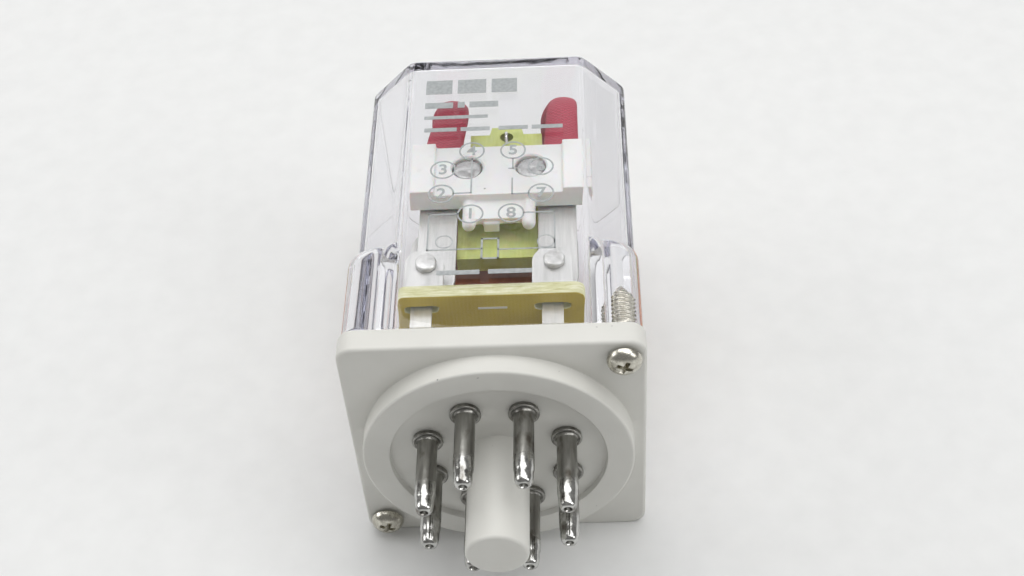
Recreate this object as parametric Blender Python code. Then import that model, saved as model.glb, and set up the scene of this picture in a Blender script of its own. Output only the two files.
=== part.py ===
"""Plug-in relay with an octal base: clear cover, laminate contact board, hinged armature and coil.

It is modelled as it lies on its back. Sizes are in millimetres in the relay's own frame, with X across,
Y along the axis from the base flange's front face (Y = 0) towards the cover's end, and Z up through the
printed side, with Z = 0 on the relay's axis. One empty moves all of it so that the lowest edge is at
Z = 0 and the bounding box is centred on X and Y.
"""

import math

import bmesh
import bpy
from mathutils import Vector

MM = 0.001
GAP = 0.3  # between neighbouring pieces

# Base moulding
FLANGE_HALF = 17.4
FLANGE_CORNER_R = 2.0
FLANGE_T = 3.2
BOSS_R = 15.95
BOSS_H = 2.55
RECESS_R = 12.7
RECESS_DEPTH = 0.8
POST_R = 3.62
POST_END_Y = -15.85
KEY_HALF_WIDTH = 1.0
KEY_TOP_R = 4.75
RIM_OUTER_HALF = 15.2
RIM_WALL = 1.2
RIM_TOP_Y = 4.2
PILLAR_X = 4.2
PILLAR_R = 2.4

# Octal pins, numbered clockwise from the key as seen from the pin side
PIN_CIRCLE_R = 17.45 / 2
PIN_R = 1.18
PIN_TIP_Y = -12.2
PIN_REAR_Y = 4.4
PIN_HOLE_R = PIN_R + GAP
COLLAR_R = 1.83
PIN_COUNT = 8

# Cover: an octagonal cup with a lobe at each corner of the flange
COVER_HALF = 16.88
COVER_FLAT_HALF = 11.28
COVER_WALL = 1.3
COVER_END_WALL = 1.0
COVER_MOUTH_Y = FLANGE_T + GAP
COVER_END_Y = 50.65
LOBE_SHOULDER_Y = 14.2
COLUMN_AT, COLUMN_R = 14.85, 2.3
RIDGE_AT, RIDGE_R = (12.35, 15.85), 1.1
SCREW_HEAD_R = 2.0
SCREW_SHANK_R = 0.95
SCREW_END_Y = 9.8
SCREW_BORE_END_Y = 14.4

# Terminal board and the fixed contacts that stand in it
BOARD_X = (-11.6, 11.0)
BOARD_Y = (9.4, 11.2)
BOARD_Z = (-8.5, 15.0)
PLATE_T = 0.5
PLATE_TAIL_Y = 5.2
FRONT_PLATE_Z = 12.8
FRONT_PLATE_X = (-8.35, 6.95)
REAR_PLATE_Z = 6.85
REAR_PLATE_X = (-8.6, 7.8)
CONTACT_Y = 16.3

# Armature, hinged on the yoke's front edge, and what it carries
PIVOT_Y, PIVOT_Z = 41.8, 6.65
ARMATURE_Z = (6.8, 9.0)
CARRIER_X = 0.4
CARRIER_Y = (28.0, 36.8)
BLADE_Z = (10.0, 10.4)
BLADE_X = (-7.25, 7.6)
BLADE_HALF_WIDTH = 2.4
RIVET_X, RIVET_Y = 4.0, 33.0
SPRING_X, SPRING_HOLE_Y = 1.05, 43.1

# Magnet and coil, whose axis runs along Z
COIL_Y = 28.0
YOKE_HALF_WIDTH = 9.0
YOKE_T = 2.0
YOKE_BACK_Z = -12.6
YOKE_FOOT_Y = 11.5
BOBBIN_Z = (-10.1, 4.5)
BOBBIN_R = 9.8
WINDING_R = (4.6, 9.2)
POLE_SHOE_R = 5.0
POLE_FACE_Z = 5.7

# Flexible leads
SLEEVE_R = (0.8, 1.15)
SLEEVE_FLAT = 2.05  # how many times wider than thick it is at the blade
BRAID_R = 0.55


def clear_scene():
    for obj in list(bpy.data.objects):
        bpy.data.objects.remove(obj, do_unlink=True)


def make_material(name, color, roughness, metallic=0.0, transmission=0.0):
    """A Principled material; a transmission above 0 makes it clear."""
    material = bpy.data.materials.new(name)
    material.use_nodes = True
    shader = material.node_tree.nodes["Principled BSDF"]
    shader.inputs["Base Color"].default_value = (*color, 1.0)
    shader.inputs["Roughness"].default_value = roughness
    shader.inputs["Metallic"].default_value = metallic
    shader.inputs["Transmission Weight"].default_value = transmission
    material.diffuse_color = (*color, 0.35 if transmission else 1.0)
    return material


def make_empty(name, location, parent=None):
    empty = bpy.data.objects.new(name, None)
    empty.location = Vector(location) * MM
    empty.parent = parent
    bpy.context.scene.collection.objects.link(empty)
    return empty


def add_piece(name, bm, material, parent):
    """One object from a bmesh in millimetres. Its place in the relay's frame doesn't depend on its parent."""
    bmesh.ops.recalc_face_normals(bm, faces=bm.faces)
    bmesh.ops.scale(bm, vec=(MM, MM, MM), verts=bm.verts)
    mesh = bpy.data.meshes.new(name)
    bm.to_mesh(mesh)
    bm.free()
    mesh.shade_smooth()
    mesh.set_sharp_from_angle(angle=math.radians(35))
    obj = bpy.data.objects.new(name, mesh)
    bpy.context.scene.collection.objects.link(obj)
    obj.parent = parent
    if parent.parent:
        obj.location = -parent.location
    if material:
        mesh.materials.append(material)
    return obj


def combine(obj, bm, parent, operation):
    """Cuts a helper shape out of an object, or joins it on."""
    helper = add_piece(f"{obj.name}_{operation.lower()}", bm, None, parent)
    helper.hide_render = True
    helper.display_type = "WIRE"
    boolean = obj.modifiers.new(helper.name, "BOOLEAN")
    boolean.operation = operation
    boolean.object = helper


# Shapes. Each returns a bmesh in millimetres, or adds to the one it is given.


def add_prism(bm, outline, axis, low, high):
    """An outline of (first, second) points in the plane across the axis, extruded from low to high."""

    def corner(point, level):
        first, second = point
        return {"X": (level, first, second), "Y": (first, level, second), "Z": (first, second, level)}[axis]

    bottom = [bm.verts.new(corner(point, low)) for point in outline]
    top = [bm.verts.new(corner(point, high)) for point in outline]
    bm.faces.new(bottom)
    bm.faces.new(top[::-1])
    for i, vert in enumerate(bottom):
        following = (i + 1) % len(bottom)
        bm.faces.new((vert, top[i], top[following], bottom[following]))
    return bm


def prism(outline, axis, low, high):
    return add_prism(bmesh.new(), outline, axis, low, high)


def add_block(bm, low, high):
    """A box between two opposite corners."""
    outline = [(low[0], low[1]), (high[0], low[1]), (high[0], high[1]), (low[0], high[1])]
    return add_prism(bm, outline, "Z", low[2], high[2])


def block(low, high):
    return add_block(bmesh.new(), low, high)


def add_turned(bm, profile, axis, centre, steps):
    """A closed profile of (radius, height along the axis) turned round an axis through the centre.

    The centre is the (first, second) coordinates across the axis, in X, Y, Z order. A point with radius 0
    lies on the axis.
    """

    def place(radius, height, angle):
        first = centre[0] + radius * math.cos(angle)
        second = centre[1] + radius * math.sin(angle)
        return (first, height, second) if axis == "Y" else (first, second, height)

    angles = [2 * math.pi * (i + 0.5) / steps for i in range(steps)]
    rings = []
    for radius, height in profile:
        if radius == 0:
            rings.append([bm.verts.new(place(0, height, 0))] * steps)
        else:
            rings.append([bm.verts.new(place(radius, height, angle)) for angle in angles])
    for ring, following in zip(rings, rings[1:] + rings[:1]):
        for i in range(steps):
            j = (i + 1) % steps
            corners = list(dict.fromkeys((ring[i], ring[j], following[j], following[i])))
            if len(corners) > 2:
                bm.faces.new(corners)
    return bm


def turned(profile, axis, centre, steps=24):
    return add_turned(bmesh.new(), profile, axis, centre, steps)


def add_rod(bm, radius, axis, centre, low, high, steps=16):
    return add_turned(bm, [(0, low), (radius, low), (radius, high), (0, high)], axis, centre, steps)


def arc(centre, radius, start, end, steps):
    """Points along an arc, with its angles in degrees."""
    angles = [math.radians(start + (end - start) * i / steps) for i in range(steps + 1)]
    return [(centre[0] + radius * math.cos(a), centre[1] + radius * math.sin(a)) for a in angles]


def rounded_rectangle(first, second, radii, steps=4):
    """Outline between two spans, with a radius for each corner: high-high, low-high, low-low, high-low."""
    outline = []
    signs = ((1, 1), (-1, 1), (-1, -1), (1, -1))
    for turn, ((i, j), radius) in enumerate(zip(signs, radii)):
        corner = (first[i > 0], second[j > 0])
        if radius:
            centre = (corner[0] - i * radius, corner[1] - j * radius)
            outline += arc(centre, radius, 90 * turn, 90 * turn + 90, steps)
        else:
            outline.append(corner)
    return outline


def octagon(half, flat_half):
    points = [(flat_half, half), (-flat_half, half), (-half, flat_half), (-half, -flat_half)]
    return points + [(-x, -z) for x, z in points]


def smooth_route(points, spacing):
    """Points read about evenly from a Catmull-Rom curve through the route's own points."""
    points = [Vector(point) for point in points]
    ends = [2 * points[0] - points[1], *points, 2 * points[-1] - points[-2]]
    route = [points[0]]
    for a, b, c, d in zip(ends, ends[1:], ends[2:], ends[3:]):
        steps = max(1, round((c - b).length / spacing))
        for i in range(1, steps + 1):
            t = i / steps
            route.append(
                0.5 * (2 * b + (c - a) * t + (2 * a - 5 * b + 4 * c - d) * t**2 + (3 * b - a - 3 * c + d) * t**3)
            )
    return route


def tube(route, outer, inner=0.0, sides=8, widths=None):
    """A tube swept along a route, solid or with a bore from end to end.

    Its section is a circle, stretched across the route by the factor that widths gives for each point.
    """
    bm = bmesh.new()
    across = Vector((1, 0, 0))
    rings = []
    for i, point in enumerate(route):
        along = (route[min(i + 1, len(route) - 1)] - route[max(i - 1, 0)]).normalized()
        across = (across - along * across.dot(along)).normalized()
        side = along.cross(across)
        wide = across * (widths[i] if widths else 1.0)
        ring = {}
        for radius in filter(None, (outer, inner)):
            angles = [2 * math.pi * k / sides for k in range(sides)]
            ring[radius] = [
                bm.verts.new(point + radius * (wide * math.cos(a) + side * math.sin(a))) for a in angles
            ]
        rings.append(ring)
    for radius in rings[0]:
        for ring, following in zip(rings, rings[1:]):
            for k in range(sides):
                n = (k + 1) % sides
                corners = (ring[radius][k], ring[radius][n], following[radius][n], following[radius][k])
                bm.faces.new(corners if radius == outer else corners[::-1])
    for ring, turn in ((rings[0], 1), (rings[-1], -1)):
        if inner:
            for k in range(sides):
                n = (k + 1) % sides
                bm.faces.new((ring[outer][n], ring[outer][k], ring[inner][k], ring[inner][n])[::turn])
        else:
            bm.faces.new(ring[outer][::-turn])
    return bm


# Sub-parts


def pin_place(number):
    """(X, Z) of an octal pin. Pin 1 is left of the key, which points down, and they run clockwise."""
    angle = math.radians(-90 - 360 / PIN_COUNT * (number - 0.5))
    return PIN_CIRCLE_R * math.cos(angle), PIN_CIRCLE_R * math.sin(angle)


COVER_SCREWS = {"cover_screw_right": (COLUMN_AT, COLUMN_AT), "cover_screw_left": (-COLUMN_AT, -COLUMN_AT)}
SIDES = {"left": -1, "right": 1}


def build_base(material, parent):
    recess_y = RECESS_DEPTH - BOSS_H
    corners = rounded_rectangle((-FLANGE_HALF, FLANGE_HALF), (-FLANGE_HALF, FLANGE_HALF), [FLANGE_CORNER_R] * 4)
    base = add_piece("base", prism(corners, "Y", 0, FLANGE_T), material, parent)
    boss_profile = [
        (0, recess_y), (RECESS_R, recess_y), (RECESS_R + 0.2, -BOSS_H), (BOSS_R - 0.3, -BOSS_H),
        (BOSS_R, 0.3 - BOSS_H), (BOSS_R, 0.5), (0, 0.5),
    ]  # fmt: skip
    combine(base, turned(boss_profile, "Y", (0, 0), 48), parent, "UNION")
    post_profile = [(0, POST_END_Y), (POST_R - 0.5, POST_END_Y), (POST_R, POST_END_Y + 0.5), (POST_R, 0.4), (0, 0.4)]
    combine(base, turned(post_profile, "Y", (0, 0), 24), parent, "UNION")
    key = block((-KEY_HALF_WIDTH, POST_END_Y + 1.0, -KEY_TOP_R), (KEY_HALF_WIDTH, 0.35, -2.0))
    combine(base, key, parent, "UNION")
    rim_flat = RIM_OUTER_HALF - (COVER_HALF - COVER_FLAT_HALF)
    rim = prism(octagon(RIM_OUTER_HALF, rim_flat), "Y", FLANGE_T - 0.4, RIM_TOP_Y)
    combine(base, rim, parent, "UNION")
    inner = octagon(RIM_OUTER_HALF - RIM_WALL, rim_flat - RIM_WALL * math.tan(math.pi / 8))
    combine(base, prism(inner, "Y", FLANGE_T, RIM_TOP_Y + 1), parent, "DIFFERENCE")
    pillars = bmesh.new()
    for side in SIDES.values():
        add_rod(pillars, PILLAR_R, "Y", (side * PILLAR_X, 0), FLANGE_T - 0.5, BOARD_Y[0] - GAP)
    combine(base, pillars, parent, "UNION")
    holes = bmesh.new()
    for number in range(1, PIN_COUNT + 1):
        add_rod(holes, PIN_HOLE_R, "Y", pin_place(number), -BOSS_H - 1, FLANGE_T + 1, 12)
    for place in COVER_SCREWS.values():
        add_rod(holes, SCREW_SHANK_R + 1.5 * GAP, "Y", place, -1, FLANGE_T + 1, 12)
    for side in SIDES.values():
        add_rod(holes, SCREW_SHANK_R + GAP, "Y", (side * PILLAR_X, 0), 5.0, BOARD_Y[0] + 1, 12)
    combine(base, holes, parent, "DIFFERENCE")


def build_pins(material, parent):
    """Hollow pins, each with a collar over the base's recess, a necked tip and a blind bore."""
    collar_y = RECESS_DEPTH - BOSS_H - GAP
    profile = [
        (0, PIN_TIP_Y + 2.5), (0.5, PIN_TIP_Y + 2.3), (0.6, PIN_TIP_Y), (0.82, PIN_TIP_Y), (1.0, PIN_TIP_Y + 0.5),
        (1.05, PIN_TIP_Y + 1.6), (PIN_R, PIN_TIP_Y + 2.0), (PIN_R, collar_y - 0.5), (COLLAR_R, collar_y - 0.35),
        (COLLAR_R, collar_y), (PIN_R, collar_y), (PIN_R, PIN_REAR_Y), (0, PIN_REAR_Y),
    ]  # fmt: skip
    for number in range(1, PIN_COUNT + 1):
        add_piece(f"pin_{number}", turned(profile, "Y", pin_place(number), 14), material, parent)


def lobe_outline():
    """Outline of the corner lobe at +X +Z: the screw's column between two narrow ridges."""
    outline = arc(RIDGE_AT, RIDGE_R, 150, 30, 3)
    outline += arc((COLUMN_AT, COLUMN_AT), COLUMN_R, 120, -30, 8)
    outline += arc(RIDGE_AT[::-1], RIDGE_R, 60, -60, 3)
    return outline + [(15.1, 12.1), (12.1, 15.1)]


def build_lobe(turns):
    """One lobe, turned by quarter turns. It shrinks into the cover's wall at its top in four steps."""
    wall_middle = 13.6
    levels = [(COVER_MOUTH_Y, 1.0), (LOBE_SHOULDER_Y, 1.0), (LOBE_SHOULDER_Y + 1.4, 0.85)]
    levels += [(LOBE_SHOULDER_Y + 2.6, 0.55), (LOBE_SHOULDER_Y + 3.3, 0.12)]
    bm = bmesh.new()
    rings = []
    for y, scale in levels:
        ring = []
        for x, z in lobe_outline():
            x, z = (wall_middle + (value - wall_middle) * scale for value in (x, z))
            for _ in range(turns):
                x, z = -z, x
            ring.append(bm.verts.new((x, y, z)))
        rings.append(ring)
    for ring, following in zip(rings, rings[1:]):
        for i in range(len(ring)):
            j = (i + 1) % len(ring)
            bm.faces.new((ring[i], ring[j], following[j], following[i]))
    bm.faces.new(rings[0])
    bm.faces.new(rings[-1])
    return bm


def build_cover(material, parent):
    outline = octagon(COVER_HALF, COVER_FLAT_HALF)
    cover = add_piece("cover", prism(outline, "Y", COVER_MOUTH_Y, COVER_END_Y), material, parent)
    for turns in range(4):
        combine(cover, build_lobe(turns), parent, "UNION")
    inner_flat = COVER_FLAT_HALF - COVER_WALL * math.tan(math.pi / 8)
    inner = octagon(COVER_HALF - COVER_WALL, inner_flat)
    combine(cover, prism(inner, "Y", COVER_MOUTH_Y - 1, COVER_END_Y - COVER_END_WALL), parent, "DIFFERENCE")
    holes = bmesh.new()
    for place in COVER_SCREWS.values():
        add_rod(holes, SCREW_SHANK_R + GAP, "Y", place, COVER_MOUTH_Y - 1, SCREW_BORE_END_Y, 12)
    combine(cover, holes, parent, "DIFFERENCE")


def screw(place, head_y, point_y):
    """A pan head screw along Y. Its head is at the low or the high end, whichever head_y is."""
    out = math.copysign(1, head_y - point_y)
    profile = [
        (0, point_y), (0.5, point_y), (SCREW_SHANK_R, point_y + out * 0.8), (SCREW_SHANK_R, head_y),
        (SCREW_HEAD_R, head_y), (SCREW_HEAD_R, head_y + out * 0.7), (SCREW_HEAD_R - 0.6, head_y + out * 1.2),
        (0, head_y + out * 1.3),
    ]  # fmt: skip
    return turned(profile, "Y", place, 16)


def build_screws(material, parent):
    for name, place in COVER_SCREWS.items():
        add_piece(name, screw(place, -GAP, SCREW_END_Y), material, parent)
    foot_top_y = YOKE_FOOT_Y + YOKE_T
    for name, side in SIDES.items():
        place = (side * PILLAR_X, 0)
        add_piece(f"frame_screw_{name}", screw(place, foot_top_y + GAP, 5.6), material, parent)


def build_board(material, parent):
    outline = rounded_rectangle(BOARD_X, BOARD_Z, [1.5, 1.5, 0, 0])
    board = add_piece("terminal_board", prism(outline, "Y", *BOARD_Y), material, parent)
    slots = bmesh.new()
    for z, centres in ((FRONT_PLATE_Z, FRONT_PLATE_X), (REAR_PLATE_Z, REAR_PLATE_X)):
        for x in centres:
            add_block(slots, (x - 2.0, BOARD_Y[0] - 1, z - 0.55), (x + 2.0, BOARD_Y[1] + 1, z + 0.55))
    combine(board, slots, parent, "DIFFERENCE")
    holes = bmesh.new()
    for side in SIDES.values():
        add_rod(holes, SCREW_SHANK_R + GAP, "Y", (side * PILLAR_X, 0), BOARD_Y[0] - 1, BOARD_Y[1] + 1, 12)
    combine(board, holes, parent, "DIFFERENCE")


def plate_outline(x, half_width, top_y, left_r, right_r):
    """(X, Y) outline of a fixed contact plate: a round-topped blade with a narrow tail through the board."""
    shoulder_y, tail_half = BOARD_Y[1] + GAP, 1.25
    top = rounded_rectangle((x - half_width, x + half_width), (shoulder_y, top_y), [right_r, left_r, 0, 0], 6)
    tail = [(x - tail_half, shoulder_y), (x - tail_half, PLATE_TAIL_Y)]
    return top[:-1] + tail + [(-px + 2 * x, py) for px, py in tail[::-1]] + top[-1:]


def build_fixed_contacts(plate_material, silver, parent):
    head, shank, hole = 1.25, 0.45, 0.75
    for name, side in SIDES.items():
        k = side > 0
        plates = {
            "front": (FRONT_PLATE_X[k], 2.4, 18.8, 2.3, 2.3, FRONT_PLATE_Z),
            "rear": (REAR_PLATE_X[k], 2.3, 28.0, 0.5 if k else 3.0, 3.0 if k else 0.5, REAR_PLATE_Z),
        }
        for row, (x, half_width, top_y, left_r, right_r, z) in plates.items():
            outline = plate_outline(x, half_width, top_y, left_r, right_r)
            low, high = z - PLATE_T / 2, z + PLATE_T / 2
            plate = add_piece(f"{row}_plate_{name}", prism(outline, "Z", low, high), plate_material, parent)
            contact_x = FRONT_PLATE_X[k] + 0.25
            drill = add_rod(bmesh.new(), hole, "Z", (contact_x, CONTACT_Y), low - 1, high + 1, 12)
            combine(plate, drill, parent, "DIFFERENCE")
            thick, thin = (0.5, 0.45) if row == "front" else (0.4, 0.4)
            faces = (low - GAP - thick, high + GAP + thin)
            profile = [
                (0, faces[0]), (head, faces[0]), (head, low - GAP), (shank, low - GAP),
                (shank, high + GAP), (head, high + GAP), (head - 0.15, faces[1]), (0, faces[1]),
            ]  # fmt: skip
            rivet = turned(profile, "Z", (contact_x, CONTACT_Y), 14)
            add_piece(f"{row}_contact_{name}", rivet, silver, parent)


def build_plate_wires(material, parent):
    """Short links from the plates' tails to the rear ends of pins 3 to 6."""
    pin_end_y = PIN_REAR_Y + 0.4
    ends = {3: (REAR_PLATE_X[0], REAR_PLATE_Z), 6: (REAR_PLATE_X[1], REAR_PLATE_Z)}
    ends |= {4: (FRONT_PLATE_X[0], FRONT_PLATE_Z), 5: (FRONT_PLATE_X[1], FRONT_PLATE_Z)}
    for number, (x, z) in ends.items():
        pin_x, pin_z = pin_place(number)
        start_z = z - PLATE_T / 2 - GAP - 0.45
        route = [
            (x, 6.4, start_z),
            (x + 0.3 * (pin_x - x), 6.7, start_z + 0.3 * (pin_z - start_z)),
            (pin_x + 0.15 * (x - pin_x), 6.2, pin_z + 0.2 * (start_z - pin_z)),
            (pin_x, pin_end_y, pin_z),
        ]
        bm = tube(smooth_route(route, 1.0), 0.42, sides=6)
        add_piece(f"plate_wire_{number}", bm, material, parent)


def build_magnet(zinc, iron, parent):
    """The U-shaped yoke with its spring tab, and the core with its pole shoe."""
    top_y = PIVOT_Y
    back_front_z = YOKE_BACK_Z + YOKE_T
    leg_front_z = PIVOT_Z - 0.15
    foot_front_z = 3.0
    outline = [
        (YOKE_FOOT_Y, YOKE_BACK_Z), (top_y, YOKE_BACK_Z), (top_y, leg_front_z), (top_y - YOKE_T, leg_front_z),
        (top_y - YOKE_T, back_front_z), (YOKE_FOOT_Y + YOKE_T, back_front_z),
        (YOKE_FOOT_Y + YOKE_T, foot_front_z), (YOKE_FOOT_Y, foot_front_z),
    ]  # fmt: skip
    yoke = add_piece("yoke", prism(outline, "X", -YOKE_HALF_WIDTH, YOKE_HALF_WIDTH), zinc, parent)
    tab = block((SPRING_X - 2.4, top_y - 1, YOKE_BACK_Z + 0.1), (SPRING_X + 2.4, 46.2, back_front_z - 0.1))
    combine(yoke, tab, parent, "UNION")
    holes = bmesh.new()
    add_rod(holes, 2.2, "Z", (0, COIL_Y), YOKE_BACK_Z - 1, back_front_z + 1)
    add_rod(holes, 0.75, "Z", (SPRING_X, SPRING_HOLE_Y + 1.0), YOKE_BACK_Z - 1, back_front_z + 1, 12)
    for side in SIDES.values():
        add_rod(holes, SCREW_SHANK_R + GAP, "Y", (side * PILLAR_X, 0), YOKE_FOOT_Y - 1, YOKE_FOOT_Y + 3, 12)
    combine(yoke, holes, parent, "DIFFERENCE")
    profile = [
        (0, YOKE_BACK_Z - 0.7), (1.6, YOKE_BACK_Z - 0.7), (1.9, YOKE_BACK_Z - 0.4), (1.9, back_front_z + GAP),
        (3.3, back_front_z + GAP), (3.3, POLE_FACE_Z - 0.9), (POLE_SHOE_R, POLE_FACE_Z - 0.9),
        (POLE_SHOE_R, POLE_FACE_Z), (0, POLE_FACE_Z),
    ]  # fmt: skip
    add_piece("core", turned(profile, "Z", (0, COIL_Y)), iron, parent)


def build_coil(bobbin_material, copper, parent):
    rear, front = BOBBIN_Z
    tube_r = (3.6, 4.3)
    profile = [
        (tube_r[0], rear), (BOBBIN_R, rear), (BOBBIN_R, rear + 1), (tube_r[1], rear + 1),
        (tube_r[1], front - 1), (BOBBIN_R, front - 1), (BOBBIN_R, front), (tube_r[0], front),
    ]  # fmt: skip
    add_piece("bobbin", turned(profile, "Z", (0, COIL_Y), 32), bobbin_material, parent)
    low, high = rear + 1 + GAP, front - 1 - GAP
    profile = [(WINDING_R[0], low), (WINDING_R[1], low), (WINDING_R[1], high), (WINDING_R[0], high)]
    add_piece("winding", turned(profile, "Z", (0, COIL_Y), 32), copper, parent)
    for number, side in ((1, -1), (8, 1)):
        pin_x, pin_z = pin_place(number)
        route = [
            (6.8 * side, 20.8, -8.2), (8.9 * side, 17.5, -8.9), (9.65 * side, 14.0, -9.5), (9.65 * side, 11.0, -9.6),
            (8.6 * side, 8.6, -9.4), (5.5 * side, 8.0, -9.2), (pin_x, 6.2, pin_z), (pin_x, PIN_REAR_Y + 0.4, pin_z),
        ]  # fmt: skip
        bm = tube(smooth_route(route, 1.4), 0.3, sides=6)
        add_piece(f"coil_wire_{number}", bm, copper, parent)


def armature_outline():
    """(X, Y) outline: a plain plate, then wider ears over the yoke's edge with a raised spring tab."""
    return [
        (-4.9, 21.0), (5.1, 21.0), (5.1, 40.6), (5.7, 41.2), (5.7, 43.6), (3.3, 43.6),
        (3.3, 45.0), (-1.2, 45.0), (-1.2, 43.6), (-3.7, 43.6), (-3.7, 41.2), (-4.9, 40.6),
    ]  # fmt: skip


def build_armature(zinc, parent):
    low, high = ARMATURE_Z
    armature = add_piece("armature", prism(armature_outline(), "Z", low, high), zinc, parent)
    holes = bmesh.new()
    add_rod(holes, 0.75, "Z", (SPRING_X, SPRING_HOLE_Y), low - 1, high + 1, 12)
    for side in SIDES.values():
        add_rod(holes, 1.05, "Z", (CARRIER_X + side * RIVET_X, RIVET_Y), low - 1, high + 1, 12)
    combine(armature, holes, parent, "DIFFERENCE")


def build_carrier(white, steel, parent):
    """The white block with side ears and, towards the contacts, two pegs and a crossbar."""
    y0, y1 = CARRIER_Y
    face_z, ear_z, wing_z = 13.2, 13.9, BLADE_Z[1] + GAP
    rest_z = ARMATURE_Z[1] + GAP
    carrier = add_piece(
        "contact_carrier", block((CARRIER_X - 11.2, y0, wing_z), (CARRIER_X + 11.2, y1, face_z)), white, parent
    )
    ears = bmesh.new()
    for side in SIDES.values():
        edges = sorted((CARRIER_X + side * 8.05, CARRIER_X + side * 11.15))
        add_block(ears, (edges[0], y0 + 0.05, wing_z + 0.2), (edges[1], y1 + 0.15, ear_z))
    combine(carrier, ears, parent, "UNION")
    pegs = bmesh.new()
    for side in SIDES.values():
        profile = [(0, 23.7), (0.45, 23.8), (0.85, 24.3), (0.85, y0 + 1), (0, y0 + 1)]
        add_turned(pegs, profile, "Y", (CARRIER_X + side * 3.7, 11.5), 12)
    combine(carrier, pegs, parent, "UNION")
    seat = block((CARRIER_X - 3.9, y0 + 0.1, rest_z + 0.02), (CARRIER_X + 3.9, y1 - 0.1, wing_z + 1))
    combine(carrier, seat, parent, "UNION")
    web = block((CARRIER_X - 3.5, 24.9, 10.95), (CARRIER_X + 3.5, y0 + 0.5, 12.0))
    combine(carrier, web, parent, "UNION")
    lug = block((CARRIER_X - 1.9, 24.6, 9.9), (CARRIER_X, 25.6, 11.4))
    combine(carrier, lug, parent, "UNION")
    recess_floor_z = 11.9
    holes = bmesh.new()
    for side in SIDES.values():
        place = (CARRIER_X + side * RIVET_X, RIVET_Y)
        steps = [(0, rest_z - 1), (1.05, rest_z - 1), (1.05, recess_floor_z), (1.95, recess_floor_z)]
        add_turned(holes, steps + [(1.95, face_z + 1), (0, face_z + 1)], "Z", place, 18)
    combine(carrier, holes, parent, "DIFFERENCE")
    head_z = recess_floor_z + GAP
    profile = [(0, ARMATURE_Z[0] + 0.1), (0.75, ARMATURE_Z[0] + 0.1), (0.75, head_z), (1.65, head_z)]
    profile += [(1.65, head_z + 0.5), (1.4, head_z + 0.7), (0, head_z + 0.7)]
    for name, side in SIDES.items():
        place = (CARRIER_X + side * RIVET_X, RIVET_Y)
        add_piece(f"carrier_rivet_{name}", turned(profile, "Z", place, 16), steel, parent)


def build_blades(blade_material, silver, parent):
    low, high = BLADE_Z
    head, shank = 1.25, 0.45
    profile = [
        (0, 9.2), (head, 9.2), (head, low - GAP), (shank, low - GAP), (shank, high + GAP),
        (head, high + GAP), (head, 11.45), (0, 11.45),
    ]  # fmt: skip
    for name, side in SIDES.items():
        x = BLADE_X[side > 0]
        contact_x = FRONT_PLATE_X[side > 0] + 0.25
        span = (x - BLADE_HALF_WIDTH, x + BLADE_HALF_WIDTH)
        outline = rounded_rectangle(span, (14.6, CARRIER_Y[1]), [0, 0, 1.6, 1.6])
        blade = add_piece(f"moving_blade_{name}", prism(outline, "Z", low, high), blade_material, parent)
        drill = add_rod(bmesh.new(), 0.75, "Z", (contact_x, CONTACT_Y), low - 1, high + 1, 12)
        combine(blade, drill, parent, "DIFFERENCE")
        add_piece(f"moving_contact_{name}", turned(profile, "Z", (contact_x, CONTACT_Y), 14), silver, parent)


def build_spring(steel, parent):
    """A tension spring behind the armature's tab, hooked through the tab and the yoke."""
    wire_r, coil_r, turns, per_turn = 0.2, 1.35, 7, 10
    front_z, rear_z = 5.6, -7.5
    axis_y = SPRING_HOLE_Y + 0.75
    route = [Vector((SPRING_X, SPRING_HOLE_Y - 1.0, 9.6)), Vector((SPRING_X, SPRING_HOLE_Y - 0.2, 9.65))]
    route += [Vector((SPRING_X, SPRING_HOLE_Y, 9.2)), Vector((SPRING_X, SPRING_HOLE_Y, 6.6))]
    for i in range(turns * per_turn + 1):
        angle = math.radians(-90) + 2 * math.pi * i / per_turn
        z = front_z + (rear_z - front_z) * i / (turns * per_turn)
        route.append(Vector((SPRING_X + coil_r * math.cos(angle), axis_y + coil_r * math.sin(angle), z)))
    hook_y = SPRING_HOLE_Y + 1.0
    route += [Vector((SPRING_X, hook_y - 0.3, -8.9)), Vector((SPRING_X, hook_y, -10.2))]
    route += [Vector((SPRING_X, hook_y, -13.0)), Vector((SPRING_X, hook_y - 1.2, -13.2))]
    add_piece("return_spring", tube(route, wire_r, sides=6), steel, parent)


def lead_route(side):
    """Hand-chosen points of a flexible lead, from the blade's top, over the yoke and down behind it."""
    top_x, crest_x = (BLADE_X[0] + 0.25, BLADE_X[0] + 1.35) if side < 0 else (BLADE_X[1] + 1.1, BLADE_X[1] + 0.95)
    pin_x, pin_z = pin_place(2 if side < 0 else 7)
    return [
        (top_x, 37.9, 10.5), (top_x + 0.3 * (crest_x - top_x), 40.0, 11.2), (crest_x, 43.4, 12.3),
        (crest_x + 0.1 * side, 46.0, 11.6), (7.3 * side, 46.9, 8.4), (7.0 * side, 46.9, 3.0),
        (6.8 * side, 46.7, -5.0), (6.6 * side, 46.2, -11.0), (6.5 * side, 43.6, -13.8),
        (6.5 * side, 38.0, -14.1), (6.5 * side, 28.0, -14.1), (6.5 * side, 18.0, -14.1),
        (6.5 * side, 11.0, -14.1), (6.8 * side, 7.8, -12.6), (7.6 * side, 5.8, -9.0),
        (8.0 * side, 5.6, -4.8), (pin_x, PIN_REAR_Y + 0.4, pin_z),
    ]  # fmt: skip


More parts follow.
